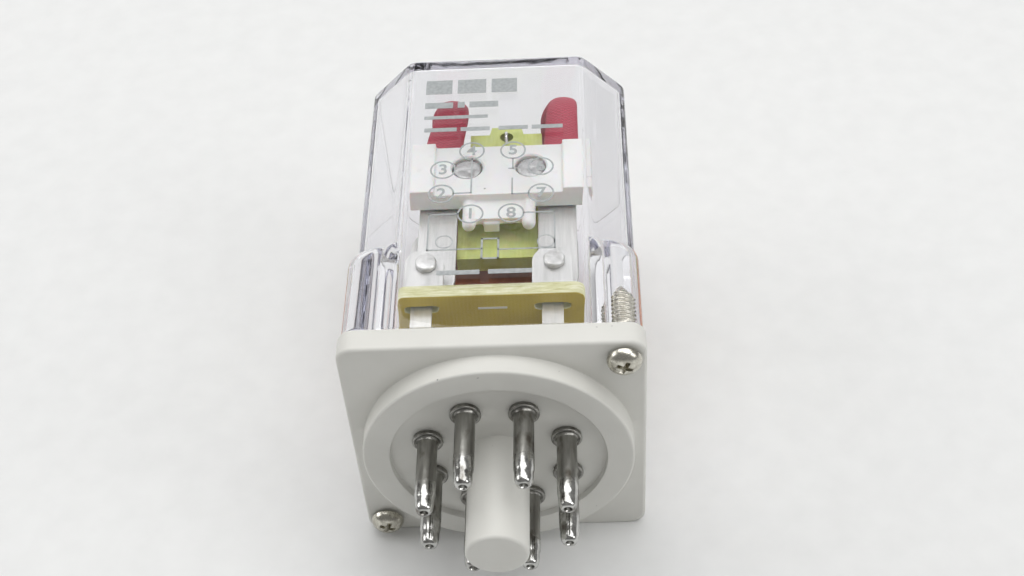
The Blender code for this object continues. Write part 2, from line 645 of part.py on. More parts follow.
def build_leads(red, copper, parent):
    """Each lead is a braid in a sleeve that is flat where it arches over and round further down."""
    for name, side in SIDES.items():
        route = smooth_route(lead_route(side), 1.9)
        add_piece(f"lead_braid_{name}", tube(route, BRAID_R, sides=6), copper, parent)
        crest = max(range(len(route)), key=lambda i: route[i].y)
        end = next(i for i, point in enumerate(route) if i > crest and point.y < 10.5)
        widths = [1 + (SLEEVE_FLAT - 1) * max(0.0, 1 - max(0, i - 2) / crest) for i in range(end + 1)]
        sleeve = tube(route[: end + 1], SLEEVE_R[1], SLEEVE_R[0], widths=widths)
        add_piece(f"lead_sleeve_{name}", sleeve, red, parent)


def main():
    clear_scene()
    overall_y = (POST_END_Y + COVER_END_Y) / 2
    relay = make_empty("relay", (0, -overall_y, FLANGE_HALF))
    pivot = make_empty("armature_pivot", (0, PIVOT_Y, PIVOT_Z), relay)

    grey_plastic = make_material("grey_plastic", (0.72, 0.72, 0.68), 0.45)
    clear_plastic = make_material("clear_plastic", (0.95, 0.96, 0.99), 0.05, transmission=1.0)
    white_plastic = make_material("white_plastic", (0.85, 0.84, 0.79), 0.4)
    laminate = make_material("laminate", (0.42, 0.34, 0.08), 0.55)
    nickel = make_material("nickel_plate", (0.62, 0.61, 0.57), 0.28, 1.0)
    sheet_metal = make_material("nickel_silver", (0.66, 0.65, 0.62), 0.35, 1.0)
    silver = make_material("contact_silver", (0.86, 0.85, 0.82), 0.25, 1.0)
    zinc = make_material("zinc_yellow", (0.52, 0.56, 0.13), 0.35, 0.7)
    iron = make_material("soft_iron", (0.45, 0.44, 0.42), 0.4, 1.0)
    phenolic = make_material("phenolic", (0.2, 0.06, 0.035), 0.5)
    copper = make_material("enamelled_copper", (0.38, 0.11, 0.05), 0.35, 0.6)
    red = make_material("red_sleeve", (0.45, 0.03, 0.07), 0.6)

    build_base(grey_plastic, relay)
    build_pins(nickel, relay)
    build_cover(clear_plastic, relay)
    build_screws(nickel, relay)
    build_board(laminate, relay)
    build_fixed_contacts(sheet_metal, silver, relay)
    build_plate_wires(copper, relay)
    build_magnet(zinc, iron, relay)
    build_coil(phenolic, copper, relay)
    build_armature(zinc, pivot)
    build_carrier(white_plastic, nickel, pivot)
    build_blades(sheet_metal, silver, pivot)
    build_spring(nickel, relay)
    build_leads(red, copper, relay)


main()
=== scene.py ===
"""Looks of a plug-in relay with an octal base: clear cover, contact board, armature, coil and leads.

Sizes are in millimetres in the relay's own frame: X across, Y along its axis from the base flange's front
face towards the cover's end, and Z up through the printed side. place() turns them into the row frame.
"""

import math

import bmesh
import bpy
from mathutils import Matrix, Vector, noise


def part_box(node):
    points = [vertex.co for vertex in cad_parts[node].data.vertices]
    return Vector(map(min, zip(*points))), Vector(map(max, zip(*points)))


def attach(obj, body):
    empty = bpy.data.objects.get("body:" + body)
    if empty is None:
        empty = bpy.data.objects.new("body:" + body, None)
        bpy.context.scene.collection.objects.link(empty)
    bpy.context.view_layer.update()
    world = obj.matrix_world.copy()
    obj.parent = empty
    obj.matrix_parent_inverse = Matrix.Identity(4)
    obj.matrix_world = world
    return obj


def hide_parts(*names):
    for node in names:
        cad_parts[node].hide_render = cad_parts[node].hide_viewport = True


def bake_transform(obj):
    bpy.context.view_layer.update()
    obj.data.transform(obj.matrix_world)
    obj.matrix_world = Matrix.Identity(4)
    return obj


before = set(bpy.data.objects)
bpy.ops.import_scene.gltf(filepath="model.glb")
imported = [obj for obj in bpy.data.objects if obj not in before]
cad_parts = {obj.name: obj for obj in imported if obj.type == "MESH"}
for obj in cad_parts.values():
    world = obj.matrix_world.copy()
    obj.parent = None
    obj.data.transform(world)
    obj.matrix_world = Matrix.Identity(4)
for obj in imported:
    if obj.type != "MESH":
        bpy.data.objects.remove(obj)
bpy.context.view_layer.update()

MM = 0.001
AXIS_Y, AXIS_Z = 17.4, 17.4  # the row frame's origin in the relay's frame is (0, AXIS_Y, -AXIS_Z)
ROOT, ARM = "root", "armature_group"
SIDES = {"left": -1, "right": 1}

# Base
FLANGE_HALF, FLANGE_CORNER_R, FLANGE_T = 17.4, 2.0, 3.2
BOSS_R, BOSS_H = 15.95, 2.55
RECESS_R, RECESS_DEPTH = 12.7, 0.8
POST_R, POST_END_Y = 3.62, -15.85
KEY_HALF_WIDTH, KEY_TOP_R = 1.0, 4.75
RIM_OUTER_HALF, RIM_WALL, RIM_TOP_Y = 15.2, 1.2, 4.2
PILLAR_X, PILLAR_R = 4.2, 2.4

# Pins
PIN_CIRCLE_R, PIN_R, PIN_TIP_Y, PIN_REAR_Y, COLLAR_R = 8.725, 1.18, -12.2, 4.4, 1.83
PIN_COUNT = 8

# Cover
COVER_HALF, COVER_FLAT_HALF, COVER_WALL, COVER_END_WALL = 16.88, 11.28, 1.3, 1.0
COVER_MOUTH_Y, COVER_END_Y = 3.5, 50.65
LOBE_SHOULDER_Y, LOBE_TOP_Y = 14.2, 17.4
COLUMN_AT, COLUMN_R = 14.85, 2.3
RIDGE_AT, RIDGE_R = (12.35, 15.85), 1.1
SCREW_SEAT_Y, SCREW_END_Y = -0.27, 9.8
COVER_SCREWS = {"cover_screw_right": (COLUMN_AT, COLUMN_AT), "cover_screw_left": (-COLUMN_AT, -COLUMN_AT)}
PRINT_Z, INK_T = COVER_HALF + 0.015, 0.03

# Board and contacts
BOARD_X, BOARD_Y, BOARD_Z = (-11.6, 11.0), (9.4, 11.2), (-8.5, 15.0)
FRONT_PLATE_X, FRONT_PLATE_Z = (-8.35, 6.95), 12.8
REAR_PLATE_X, REAR_PLATE_Z = (-8.6, 7.8), 6.85
CONTACT_Y = 16.3

# Armature and what it carries
ARMATURE_Z = (6.8, 9.0)
CARRIER_X, CARRIER_Y = 0.4, (28.0, 36.8)
RIVET_X, RIVET_Y, RIVET_HOLE_R = 4.0, 33.0, 1.05
SPRING_X, SPRING_HOLE_Y = 1.05, 43.1
BLADE_X = (-7.25, 7.6)

# Coil
COIL_Y = 28.0
BOBBIN_Z, BOBBIN_R = (-10.1, 4.5), 9.8
WINDING_R = (4.6, 9.2)

# Camera, in the row frame's metres, and light
CAMERA_AT, CAMERA_LENS_MM = (0.01054, -0.13169, 0.16749), 55.87
CAMERA_FORWARD, CAMERA_RIGHT = (-0.0448, 0.6790, -0.7327), (0.9985, 0.0069, -0.0547)
LIGHT_BOUNCES = 28  # light turns back many times inside a clear wall seen edge on
SOFTBOXES = {  # location, size in metres, watts
    "top_softbox": ((0.05, 0.09, 0.62), (0.95, 0.5), 3.5),
    "back_softbox": ((0.0, 0.9, 0.3), (1.2, 0.35), 1.6),
    "left_softbox": ((-0.55, 0.05, 0.3), (0.35, 0.3), 0.85),
    "right_softbox": ((0.5, -0.2, 0.35), (0.2, 0.3), 0.7),
}


# Camera, floor and light


def make_camera():
    camera = bpy.data.objects.new("camera", bpy.data.cameras.new("camera"))
    bpy.context.scene.collection.objects.link(camera)
    forward = Vector(CAMERA_FORWARD).normalized()
    right = Vector(CAMERA_RIGHT)
    right = (right - forward * right.dot(forward)).normalized()
    up = right.cross(forward)
    turn = Matrix((right, up, -forward)).transposed()
    camera.matrix_world = Matrix.Translation(CAMERA_AT) @ turn.to_4x4()
    camera.data.lens = CAMERA_LENS_MM
    camera.data.clip_start = 0.005
    bpy.context.scene.camera = camera


def add_softbox(name, location, target, size, power):
    light = bpy.data.lights.new(name, "AREA")
    light.shape = "RECTANGLE"
    light.size, light.size_y = size
    light.energy = power
    lamp = bpy.data.objects.new(name, light)
    bpy.context.scene.collection.objects.link(lamp)
    lamp.location = location
    lamp.rotation_euler = (Vector(target) - Vector(location)).to_track_quat("-Z", "Y").to_euler()
    lamp.visible_camera = False


def make_world():
    """A dim room that the camera sees as pale, directly or through the clear cover."""
    scene = bpy.context.scene
    scene.view_settings.view_transform = "Standard"
    for limit in ("max_bounces", "glossy_bounces", "transmission_bounces", "transparent_max_bounces"):
        setattr(scene.cycles, limit, LIGHT_BOUNCES)
    world = bpy.data.worlds.new("studio")
    world.use_nodes = True
    tree = world.node_tree
    dim = tree.nodes["Background"]
    dim.inputs["Color"].default_value = (1.0, 0.99, 0.975, 1)
    dim.inputs["Strength"].default_value = 0.25
    pale = tree.nodes.new("ShaderNodeBackground")
    pale.inputs["Color"].default_value = (0.93, 0.93, 0.925, 1)
    path = tree.nodes.new("ShaderNodeLightPath")
    seen = tree.nodes.new("ShaderNodeMath")
    seen.operation = "MAXIMUM"
    mixed = tree.nodes.new("ShaderNodeMixShader")
    tree.links.new(path.outputs["Is Camera Ray"], seen.inputs[0])
    tree.links.new(path.outputs["Is Transmission Ray"], seen.inputs[1])
    tree.links.new(seen.outputs[0], mixed.inputs[0])
    tree.links.new(dim.outputs[0], mixed.inputs[1])
    tree.links.new(pale.outputs[0], mixed.inputs[2])
    tree.links.new(mixed.outputs[0], tree.nodes["World Output"].inputs["Surface"])
    scene.world = world


def make_floor():
    bm = bmesh.new()
    bmesh.ops.create_circle(bm, cap_ends=True, segments=96, radius=3.0)
    mesh = bpy.data.meshes.new("floor")
    bm.to_mesh(mesh)
    bm.free()
    floor = bpy.data.objects.new("floor", mesh)
    bpy.context.scene.collection.objects.link(floor)
    paper = Nodes("floor_paper")
    grain = paper.noise(0.25, detail=3)
    paper.set("Base Color", paper.ramp(grain, [(0.3, (0.775, 0.78, 0.775)), (0.7, (0.805, 0.81, 0.805))]))
    paper.set("Roughness", 0.9)
    paper.bump(paper.noise(2.0, detail=4), 0.01)
    mesh.materials.append(paper.material)


# Materials


class Nodes:
    """A material and short ways to add nodes to it. Lengths are in millimetres."""

    def __init__(self, name):
        self.material = bpy.data.materials.new(name)
        self.material.use_nodes = True
        self.tree = self.material.node_tree
        self.shader = self.tree.nodes["Principled BSDF"]
        self.output = self.tree.nodes["Material Output"]
        self.place = self.node("ShaderNodeTexCoord").outputs["Object"]

    def node(self, kind, inputs=(), **settings):
        made = self.tree.nodes.new(kind)
        for key, value in settings.items():
            setattr(made, key, value)
        for key, value in dict(inputs).items():
            self.feed(made.inputs[key], value)
        return made

    def feed(self, socket, value):
        if isinstance(value, bpy.types.NodeSocket):
            self.tree.links.new(value, socket)
        elif isinstance(value, tuple) and len(value) == 3 and socket.type == "RGBA":
            socket.default_value = (*value, 1)
        else:
            socket.default_value = value

    def set(self, name, value):
        self.feed(self.shader.inputs[name], value)

    def noise(self, per_mm, detail=2.0, stretch=(1, 1, 1), roughness=0.5):
        scaled = self.node("ShaderNodeVectorMath", {0: self.place, 1: stretch}, operation="MULTIPLY")
        inputs = {"Vector": scaled.outputs[0], "Scale": per_mm * 1000, "Detail": detail}
        inputs |= {"Roughness": roughness}
        return self.node("ShaderNodeTexNoise", inputs).outputs["Fac"]

    def waves(self, per_mm, axis, distortion):
        """Bands across an axis: the texture makes 20 / tau per unit of scale."""
        inputs = {"Vector": self.place, "Scale": per_mm * 1000 * math.tau / 20, "Distortion": distortion}
        inputs |= {"Detail": 2.0, "Detail Scale": 2.0}
        return self.node("ShaderNodeTexWave", inputs, bands_direction=axis).outputs["Fac"]

    def ramp(self, factor, stops):
        made = self.node("ShaderNodeValToRGB", {"Fac": factor})
        elements = made.color_ramp.elements
        while len(elements) < len(stops):
            elements.new(0.5)
        for element, (position, colour) in zip(elements, stops):
            element.position = position
            element.color = (*colour, 1)
        return made.outputs["Color"]

    def span(self, factor, low, high, start=0.0, end=1.0):
        """The factor's range start to end turned into low to high."""
        inputs = {"Value": factor, "From Min": start, "From Max": end, "To Min": low, "To Max": high}
        return self.node("ShaderNodeMapRange", inputs).outputs["Result"]

    def mix(self, factor, a, b):
        made = self.node("ShaderNodeMix", data_type="RGBA")
        for index, value in ((0, factor), (6, a), (7, b)):
            self.feed(made.inputs[index], value)
        return made.outputs[2]

    def math(self, operation, a, b=0.0):
        return self.node("ShaderNodeMath", {0: a, 1: b}, operation=operation).outputs[0]

    def bump(self, height, depth, strength=1.0):
        """Adds relief on top of any there is already."""
        inputs = {"Height": height, "Distance": depth * MM, "Strength": strength}
        below = self.shader.inputs["Normal"].links
        if below:
            inputs["Normal"] = below[0].from_socket
        self.set("Normal", self.node("ShaderNodeBump", inputs).outputs["Normal"])


def plastic(name, light, dark, roughness=0.42, grain=0.006, subsurface=0.0):
    """Moulded plastic: slow tone changes, a fine skin and a few dark specks."""
    m = Nodes(name)
    tone = m.ramp(m.noise(0.12, detail=4), [(0.35, dark), (0.65, light)])
    specks = m.span(m.noise(1.1, detail=1), 0, 1, 0.79, 0.83)
    m.set("Base Color", m.mix(specks, tone, tuple(c * 0.35 for c in dark)))
    m.set("Roughness", m.span(m.noise(0.8, detail=3), roughness - 0.08, roughness + 0.12, 0.3, 0.7))
    m.bump(m.noise(3.5, detail=3), grain)
    m.bump(m.noise(0.25, detail=1), 0.03, 0.5)
    if subsurface:
        m.set("Subsurface Weight", subsurface)
        m.set("Subsurface Scale", 0.0012)
    return m.material


def metal(name, light, dark, roughness, stretch=(1, 1, 1), scratch=0.004, dirt=0.0):
    """Bare or plated metal with drawn streaks, and stains where dirt is above 0."""
    m = Nodes(name)
    streaks = m.noise(1.6, detail=5, stretch=stretch, roughness=0.6)
    tone = m.ramp(streaks, [(0.3, dark), (0.68, light)])
    if dirt:
        stain = m.span(m.noise(0.5, detail=5, stretch=(1, 0.6, 1)), 0, dirt, 0.52, 0.72)
        tone = m.mix(stain, tone, (0.07, 0.055, 0.04))
    m.set("Base Color", tone)
    m.set("Metallic", 1.0)
    m.set("Roughness", m.span(streaks, roughness + 0.14, roughness - 0.05, 0.3, 0.7))
    m.bump(streaks, scratch)
    return m.material


def pin_metal():
    """Nickel plate, dull near the base, with bright solder over the outer half."""
    m = Nodes("pin_metal")
    along = m.node("ShaderNodeSeparateXYZ", {"Vector": m.place}).outputs["Y"]
    wander = m.math("MULTIPLY", m.noise(0.9, detail=2), 0.0016)
    dipped = m.span(m.math("ADD", along, wander), 1, 0, (-8.4 - AXIS_Y) * MM, (-7.4 - AXIS_Y) * MM)
    streaks = m.noise(2.2, detail=4, stretch=(1, 0.15, 1))
    plate = m.ramp(streaks, [(0.3, (0.24, 0.235, 0.22)), (0.7, (0.36, 0.355, 0.33))])
    solder = m.ramp(m.noise(1.2, detail=3), [(0.3, (0.36, 0.36, 0.345)), (0.7, (0.64, 0.64, 0.62))])
    smudge = m.span(m.noise(0.7, detail=5, stretch=(1, 0.5, 1)), 0, 0.75, 0.56, 0.70)
    m.set("Base Color", m.mix(smudge, m.mix(dipped, plate, solder), (0.08, 0.065, 0.05)))
    m.set("Metallic", 1.0)
    m.set("Roughness", m.span(dipped, 0.32, 0.17))
    m.bump(m.noise(1.5, detail=2), 0.05, 0.5)
    m.bump(streaks, 0.004)
    return m.material


def zinc_yellow():
    """Zinc plate passivated yellow: green, gold and olive patches over fine rolling marks."""
    m = Nodes("zinc_yellow")
    hues = [(0.32, (0.38, 0.40, 0.11)), (0.46, (0.47, 0.52, 0.14))]
    hues += [(0.58, (0.43, 0.49, 0.16)), (0.72, (0.52, 0.49, 0.19))]
    hue = m.ramp(m.noise(0.35, detail=3), hues)
    marks = m.noise(4.0, detail=4, stretch=(1, 0.08, 1))
    m.set("Base Color", m.mix(m.span(marks, 0, 0.35, 0.35, 0.7), hue, (0.58, 0.61, 0.27)))
    m.set("Metallic", 0.45)
    m.set("Roughness", m.span(marks, 0.58, 0.42, 0.3, 0.7))
    m.bump(marks, 0.006)
    m.bump(m.noise(0.8, detail=2), 0.02, 0.5)
    return m.material


def laminate():
    """Fibre laminate: mustard faces that show the weave, and pale layered edges."""
    m = Nodes("laminate")
    normal = m.node("ShaderNodeNewGeometry").outputs["True Normal"]
    facing = m.node("ShaderNodeSeparateXYZ", {"Vector": normal})
    on_face = m.span(m.math("ABSOLUTE", facing.outputs["Y"]), 0, 1, 0.6, 0.9)
    weave = m.math("MULTIPLY", m.waves(2.2, "X", 0.8), m.waves(2.2, "Z", 0.8))
    cloud = m.ramp(m.noise(0.22, detail=4), [(0.3, (0.52, 0.37, 0.015)), (0.7, (0.62, 0.48, 0.04))])
    face = m.mix(m.span(weave, 0, 0.35), cloud, (0.70, 0.57, 0.12))
    layers = m.noise(3.0, detail=4, stretch=(0.12, 1, 0.12), roughness=0.7)
    edge = m.ramp(layers, [(0.3, (0.48, 0.46, 0.18)), (0.5, (0.68, 0.67, 0.38)), (0.68, (0.84, 0.83, 0.64))])
    m.set("Base Color", m.mix(on_face, edge, face))
    m.set("Roughness", m.span(on_face, 0.75, 0.34))
    m.bump(weave, 0.008)
    m.bump(layers, 0.05, 0.6)
    return m.material


def phenolic():
    m = Nodes("phenolic")
    cloud = m.ramp(m.noise(0.5, detail=5), [(0.35, (0.30, 0.085, 0.045)), (0.65, (0.48, 0.15, 0.075))])
    m.set("Base Color", cloud)
    m.set("Roughness", m.span(m.noise(1.5, detail=3), 0.32, 0.5, 0.3, 0.7))
    m.bump(m.noise(3.0, detail=3), 0.008)
    return m.material


def winding_copper():
    m = Nodes("enamelled_copper")
    tone = m.noise(2.0, detail=3, stretch=(0.2, 0.2, 1))
    m.set("Base Color", m.ramp(tone, [(0.3, (0.28, 0.06, 0.02)), (0.7, (0.62, 0.20, 0.06))]))
    m.set("Metallic", 0.75)
    m.set("Roughness", m.span(m.noise(1.0), 0.22, 0.36, 0.3, 0.7))
    m.set("Coat Weight", 0.6)
    m.bump(m.noise(3.0, detail=2, stretch=(0.2, 0.2, 1)), 0.01)
    return m.material


def clear_cover():
    """Clear moulded plastic with faint flow lines and scuffs. Lamps reach through it to what is inside."""
    m = Nodes("clear_cover")
    m.set("Base Color", (0.975, 0.975, 0.99))
    m.set("Transmission Weight", 1.0)
    m.set("IOR", 1.47)
    scuffs = m.noise(0.9, detail=6, stretch=(1, 0.25, 1), roughness=0.65)
    m.set("Roughness", m.span(scuffs, 0.0, 0.05, 0.45, 0.8))
    m.bump(m.noise(0.12, detail=2, stretch=(1, 0.4, 1)), 0.02, 0.5)
    clear = m.node("ShaderNodeBsdfTransparent", {"Color": (0.985, 0.985, 0.995)}).outputs[0]
    path = m.node("ShaderNodeLightPath").outputs
    straight = m.math("MAXIMUM", path["Is Shadow Ray"], path["Is Diffuse Ray"])
    shown = m.node("ShaderNodeMixShader", {0: straight, 1: m.shader.outputs[0], 2: clear}).outputs[0]
    m.feed(m.output.inputs["Surface"], shown)
    tint = m.node("ShaderNodeVolumeAbsorption", {"Color": (0.66, 0.67, 0.80), "Density": 16.0})
    m.feed(m.output.inputs["Volume"], tint.outputs[0])
    return m.material


def cover_ink():
    """Silver-grey ink, worn through in places."""
    m = Nodes("cover_ink")
    worn = m.noise(2.5, detail=4)
    m.set("Base Color", m.ramp(worn, [(0.3, (0.31, 0.33, 0.335)), (0.7, (0.42, 0.44, 0.445))]))
    m.set("Roughness", m.span(worn, 0.35, 0.6, 0.3, 0.7))
    m.set("Metallic", 0.1)
    m.bump(worn, 0.004)
    return m.material


def woven(name, light, dark, roughness, per_mm, metallic=0.0):
    """A braided tube: two sets of slanting strands, read from the piece's own UV map."""
    m = Nodes(name)
    uv = m.node("ShaderNodeUVMap", uv_map="around_along").outputs["UV"]
    u, v = m.node("ShaderNodeSeparateXYZ", {"Vector": uv}).outputs[:2]
    heights, around = [], 16
    for slant in (1, -1):
        along = m.math("MULTIPLY", v, per_mm * math.pi)
        phase = m.math("ADD", along, m.math("MULTIPLY", u, slant * around * math.pi))
        heights.append(m.math("ABSOLUTE", m.math("SINE", phase)))
    strands = m.math("MULTIPLY", *heights)
    mottled = m.math("ADD", strands, m.span(m.noise(1.2, detail=3), -0.25, 0.25))
    m.set("Base Color", m.ramp(mottled, [(0.05, dark), (0.75, light)]))
    m.set("Metallic", metallic)
    m.set("Roughness", roughness)
    m.bump(strands, 0.05, 0.7)
    return m.material


# Shapes. Each builder fills a bmesh in millimetres in the relay's frame.


def place(point):
    return Vector((point[0], point[1] - AXIS_Y, point[2] + AXIS_Z)) * MM


def finish_mesh(name, bm, sharp_deg=35):
    """Makes the bmesh an object in the row frame, smooth but for edges sharper than sharp_deg."""
    for vert in bm.verts:
        vert.co = place(vert.co)
    mesh = bpy.data.meshes.new(name)
    bm.to_mesh(mesh)
    bm.free()
    mesh.shade_smooth()
    mesh.set_sharp_from_angle(angle=math.radians(sharp_deg))
    obj = bpy.data.objects.new(f"{name}_detail", mesh)
    bpy.context.scene.collection.objects.link(obj)
    return obj


def bake_modifiers(obj, sharp_deg=35):
    """Replaces the object's mesh by its evaluated one."""
    graph = bpy.context.evaluated_depsgraph_get()
    mesh = bpy.data.meshes.new_from_object(obj.evaluated_get(graph))
    obj.modifiers.clear()
    obj.data = mesh
    mesh.shade_smooth()
    mesh.set_sharp_from_angle(angle=math.radians(sharp_deg))


def round_edges(obj, width, segments=3, angle_deg=30):
    bevel = obj.modifiers.new("edges", "BEVEL")
    bevel.width = width * MM
    bevel.segments = segments
    bevel.limit_method = "ANGLE"
    bevel.angle_limit = math.radians(angle_deg)
    bevel.use_clamp_overlap = True
    keep_flats(obj)


def keep_flats(obj):
    """Lets broad faces set the shading, so they stay flat beside their rounded edges."""
    normals = obj.modifiers.new("normals", "WEIGHTED_NORMAL")
    normals.weight, normals.keep_sharp = 90, True


def cut(obj, bm, operation="DIFFERENCE"):
    cutter = finish_mesh("cutter", bm)
    boolean = obj.modifiers.new("cut", "BOOLEAN")
    boolean.operation = operation
    boolean.object = cutter
    bake_modifiers(obj)
    bpy.data.objects.remove(cutter)


def dress(obj, material, nodes=(), body=ROOT):
    """Gives a finished piece its material, the CAD nodes it stands for and its body."""
    obj.data.materials.clear()
    obj.data.materials.append(material)
    if nodes:
        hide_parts(*nodes)
    if body:
        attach(obj, body)


def carry_over(node, material, edge=0.0):
    """Shows a CAD node with its own shape, rounded edges and a material."""
    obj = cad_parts[node]
    obj.data.materials.clear()
    obj.data.materials.append(material)
    weld = obj.modifiers.new("weld", "WELD")
    weld.merge_threshold = 2e-6
    if edge:
        round_edges(obj, edge, segments=2, angle_deg=28)


def add_prism(bm, outline, axis, low, high):
    """An outline in the other two coordinates, carried along an axis."""
    def corner(point, level):
        first, second = point
        return {"X": (level, first, second), "Y": (first, level, second), "Z": (first, second, level)}[axis]

    bottom = [bm.verts.new(corner(point, low)) for point in outline]
    top = [bm.verts.new(corner(point, high)) for point in outline]
    bm.faces.new(bottom)
    bm.faces.new(top[::-1])
    for i, vert in enumerate(bottom):
        following = (i + 1) % len(bottom)
        bm.faces.new((vert, top[i], top[following], bottom[following]))
    bmesh.ops.recalc_face_normals(bm, faces=bm.faces)
    return bm


def add_block(bm, low, high):
    outline = [(low[0], low[1]), (high[0], low[1]), (high[0], high[1]), (low[0], high[1])]
    return add_prism(bm, outline, "Z", low[2], high[2])


def add_loft(bm, rings, close=True):
    """Joins rings of points, each with the same number. A ring of one point is a tip."""
    made = [[bm.verts.new(point) for point in ring] for ring in rings]
    for ring, following in zip(made, made[1:]):
        count = max(len(ring), len(following))
        for i in range(count):
            j = (i + 1) % count
            corners = [ring[i % len(ring)], ring[j % len(ring)]]
            corners += [following[j % len(following)], following[i % len(following)]]
            corners = list(dict.fromkeys(corners))
            if len(corners) > 2:
                bm.faces.new(corners)
    if close:
        for ring in (made[0], made[-1]):
            if len(ring) > 1:
                bm.faces.new(ring)
    bmesh.ops.recalc_face_normals(bm, faces=bm.faces)
    return bm


def add_turned(bm, profile, axis, centre, steps=32):
    """A profile of (radius, height) from axis to axis, or closed on itself, turned about Y or Z."""
    rings = []
    for radius, height in profile:
        angles = [math.tau * (i + 0.5) / steps for i in range(steps)] if radius else [0]
        ring = []
        for angle in angles:
            first, second = centre[0] + radius * math.cos(angle), centre[1] + radius * math.sin(angle)
            ring.append((first, height, second) if axis == "Y" else (first, second, height))
        rings.append(ring)
    if profile[0][0] and profile[-1][0]:
        rings.append(rings[0])
        add_loft(bm, rings, close=False)
        bmesh.ops.remove_doubles(bm, verts=bm.verts, dist=1e-5)
        bmesh.ops.recalc_face_normals(bm, faces=bm.faces)
        return bm
    return add_loft(bm, rings)


def arc(centre, radius, start, end, steps):
    angles = [math.radians(start + (end - start) * i / steps) for i in range(steps + 1)]
    return [(centre[0] + radius * math.cos(a), centre[1] + radius * math.sin(a)) for a in angles]


def smooth_route(points, spacing):
    """Points read about evenly from a Catmull-Rom curve through the route's own points."""
    points = [Vector(point) for point in points]
    ends = [2 * points[0] - points[1], *points, 2 * points[-1] - points[-2]]
    route = [points[0]]
    for a, b, c, d in zip(ends, ends[1:], ends[2:], ends[3:]):
        steps = max(1, round((c - b).length / spacing))
        for i in range(1, steps + 1):
            t = i / steps
            cubic = (3 * b - a - 3 * c + d) * t**3
            route.append(0.5 * (2 * b + (c - a) * t + (2 * a - 5 * b + 4 * c - d) * t**2 + cubic))
    return route


def add_tube(bm, route, radius, sides=12, widths=None, inner=0.0):
    """A tube along a route with round or flattened section, hollow if inner is above 0, and a UV map.

    U runs once around and V is the length so far in millimetres.
    """
    layer = bm.loops.layers.uv.new("around_along")
    across = Vector((1, 0, 0))
    frames, length = [], 0.0
    for i, point in enumerate(route):
        along = (route[min(i + 1, len(route) - 1)] - route[max(i - 1, 0)]).normalized()
        across = (across - along * across.dot(along)).normalized()
        length += (point - route[i - 1]).length if i else 0
        frames.append((point, across, along.cross(across), widths[i] if widths else 1.0, length))

    def ring(at, size):
        point, wide, side, width, _ = frames[at]
        angles = [math.tau * k / sides for k in range(sides)]
        section = [wide * width * math.cos(a) + side * math.sin(a) for a in angles]
        return [bm.verts.new(point + size * offset) for offset in section]

    sizes = [radius, inner] if inner else [radius]
    shells = [[ring(i, size) for i in range(len(route))] for size in sizes]
    for rings in shells:
        for i in range(len(route) - 1):
            for k in range(sides):
                n = (k + 1) % sides
                face = bm.faces.new((rings[i][k], rings[i][n], rings[i + 1][n], rings[i + 1][k]))
                spots = ((k, i), (k + 1, i), (k + 1, i + 1), (k, i + 1))
                for loop, (u, at) in zip(face.loops, spots):
                    loop[layer].uv = (u / sides, frames[at][4])
    for at in (0, -1):
        if inner:
            for k in range(sides):
                n = (k + 1) % sides
                bm.faces.new((shells[0][at][k], shells[0][at][n], shells[1][at][n], shells[1][at][k]))
        else:
            bm.faces.new(shells[0][at])
    bmesh.ops.recalc_face_normals(bm, faces=bm.faces)
    return bm


# Outlines as a reach from the relay's axis at each angle


def octagon_reach(angle, half, flat_half, sharpness=90):
    """An octagon with slightly rounded corners."""
    slant = (half + flat_half) / math.sqrt(2)
    total = 0.0
    for turn, distance in ((0, half), (90, half), (45, slant), (135, slant)):
        total += abs(math.cos(angle - math.radians(turn)) / distance) ** sharpness
    return total ** (-1 / sharpness)


def square_reach(angle, half, corner_r):
    u, v = abs(math.cos(angle)), abs(math.sin(angle))
    if v * half <= u * (half - corner_r):
        return half / u
    if u * half <= v * (half - corner_r):
        return half / v
    c = half - corner_r
    return c * (u + v) + math.sqrt((c * (u + v)) ** 2 - 2 * c * c + corner_r**2)


def circle_reach(angle, centre, radius):
    """How far a ray from the axis leaves a circle beside it, or 0 if it misses."""
    distance, off = math.hypot(*centre), angle - math.atan2(centre[1], centre[0])
    off = (off + math.pi) % math.tau - math.pi
    across = distance * math.sin(off)
    if abs(off) > 1 or abs(across) >= radius:
        return 0.0
    return distance * math.cos(off) + math.sqrt(radius**2 - across**2)


def lobe_reach(angle):
    """The column and the two ridges at each of the cover's corners, or 0 between them."""
    quarter = (angle % math.tau) % (math.pi / 2)
    circles = [((COLUMN_AT, COLUMN_AT), COLUMN_R), (RIDGE_AT, RIDGE_R), (RIDGE_AT[::-1], RIDGE_R)]
    return max(circle_reach(quarter, centre, radius) for centre, radius in circles)


def ring_of(reach, y, count):
    angles = [math.tau * i / count for i in range(count)]
    return [(reach(a) * math.cos(a), y, reach(a) * math.sin(a)) for a in angles]


# Pieces


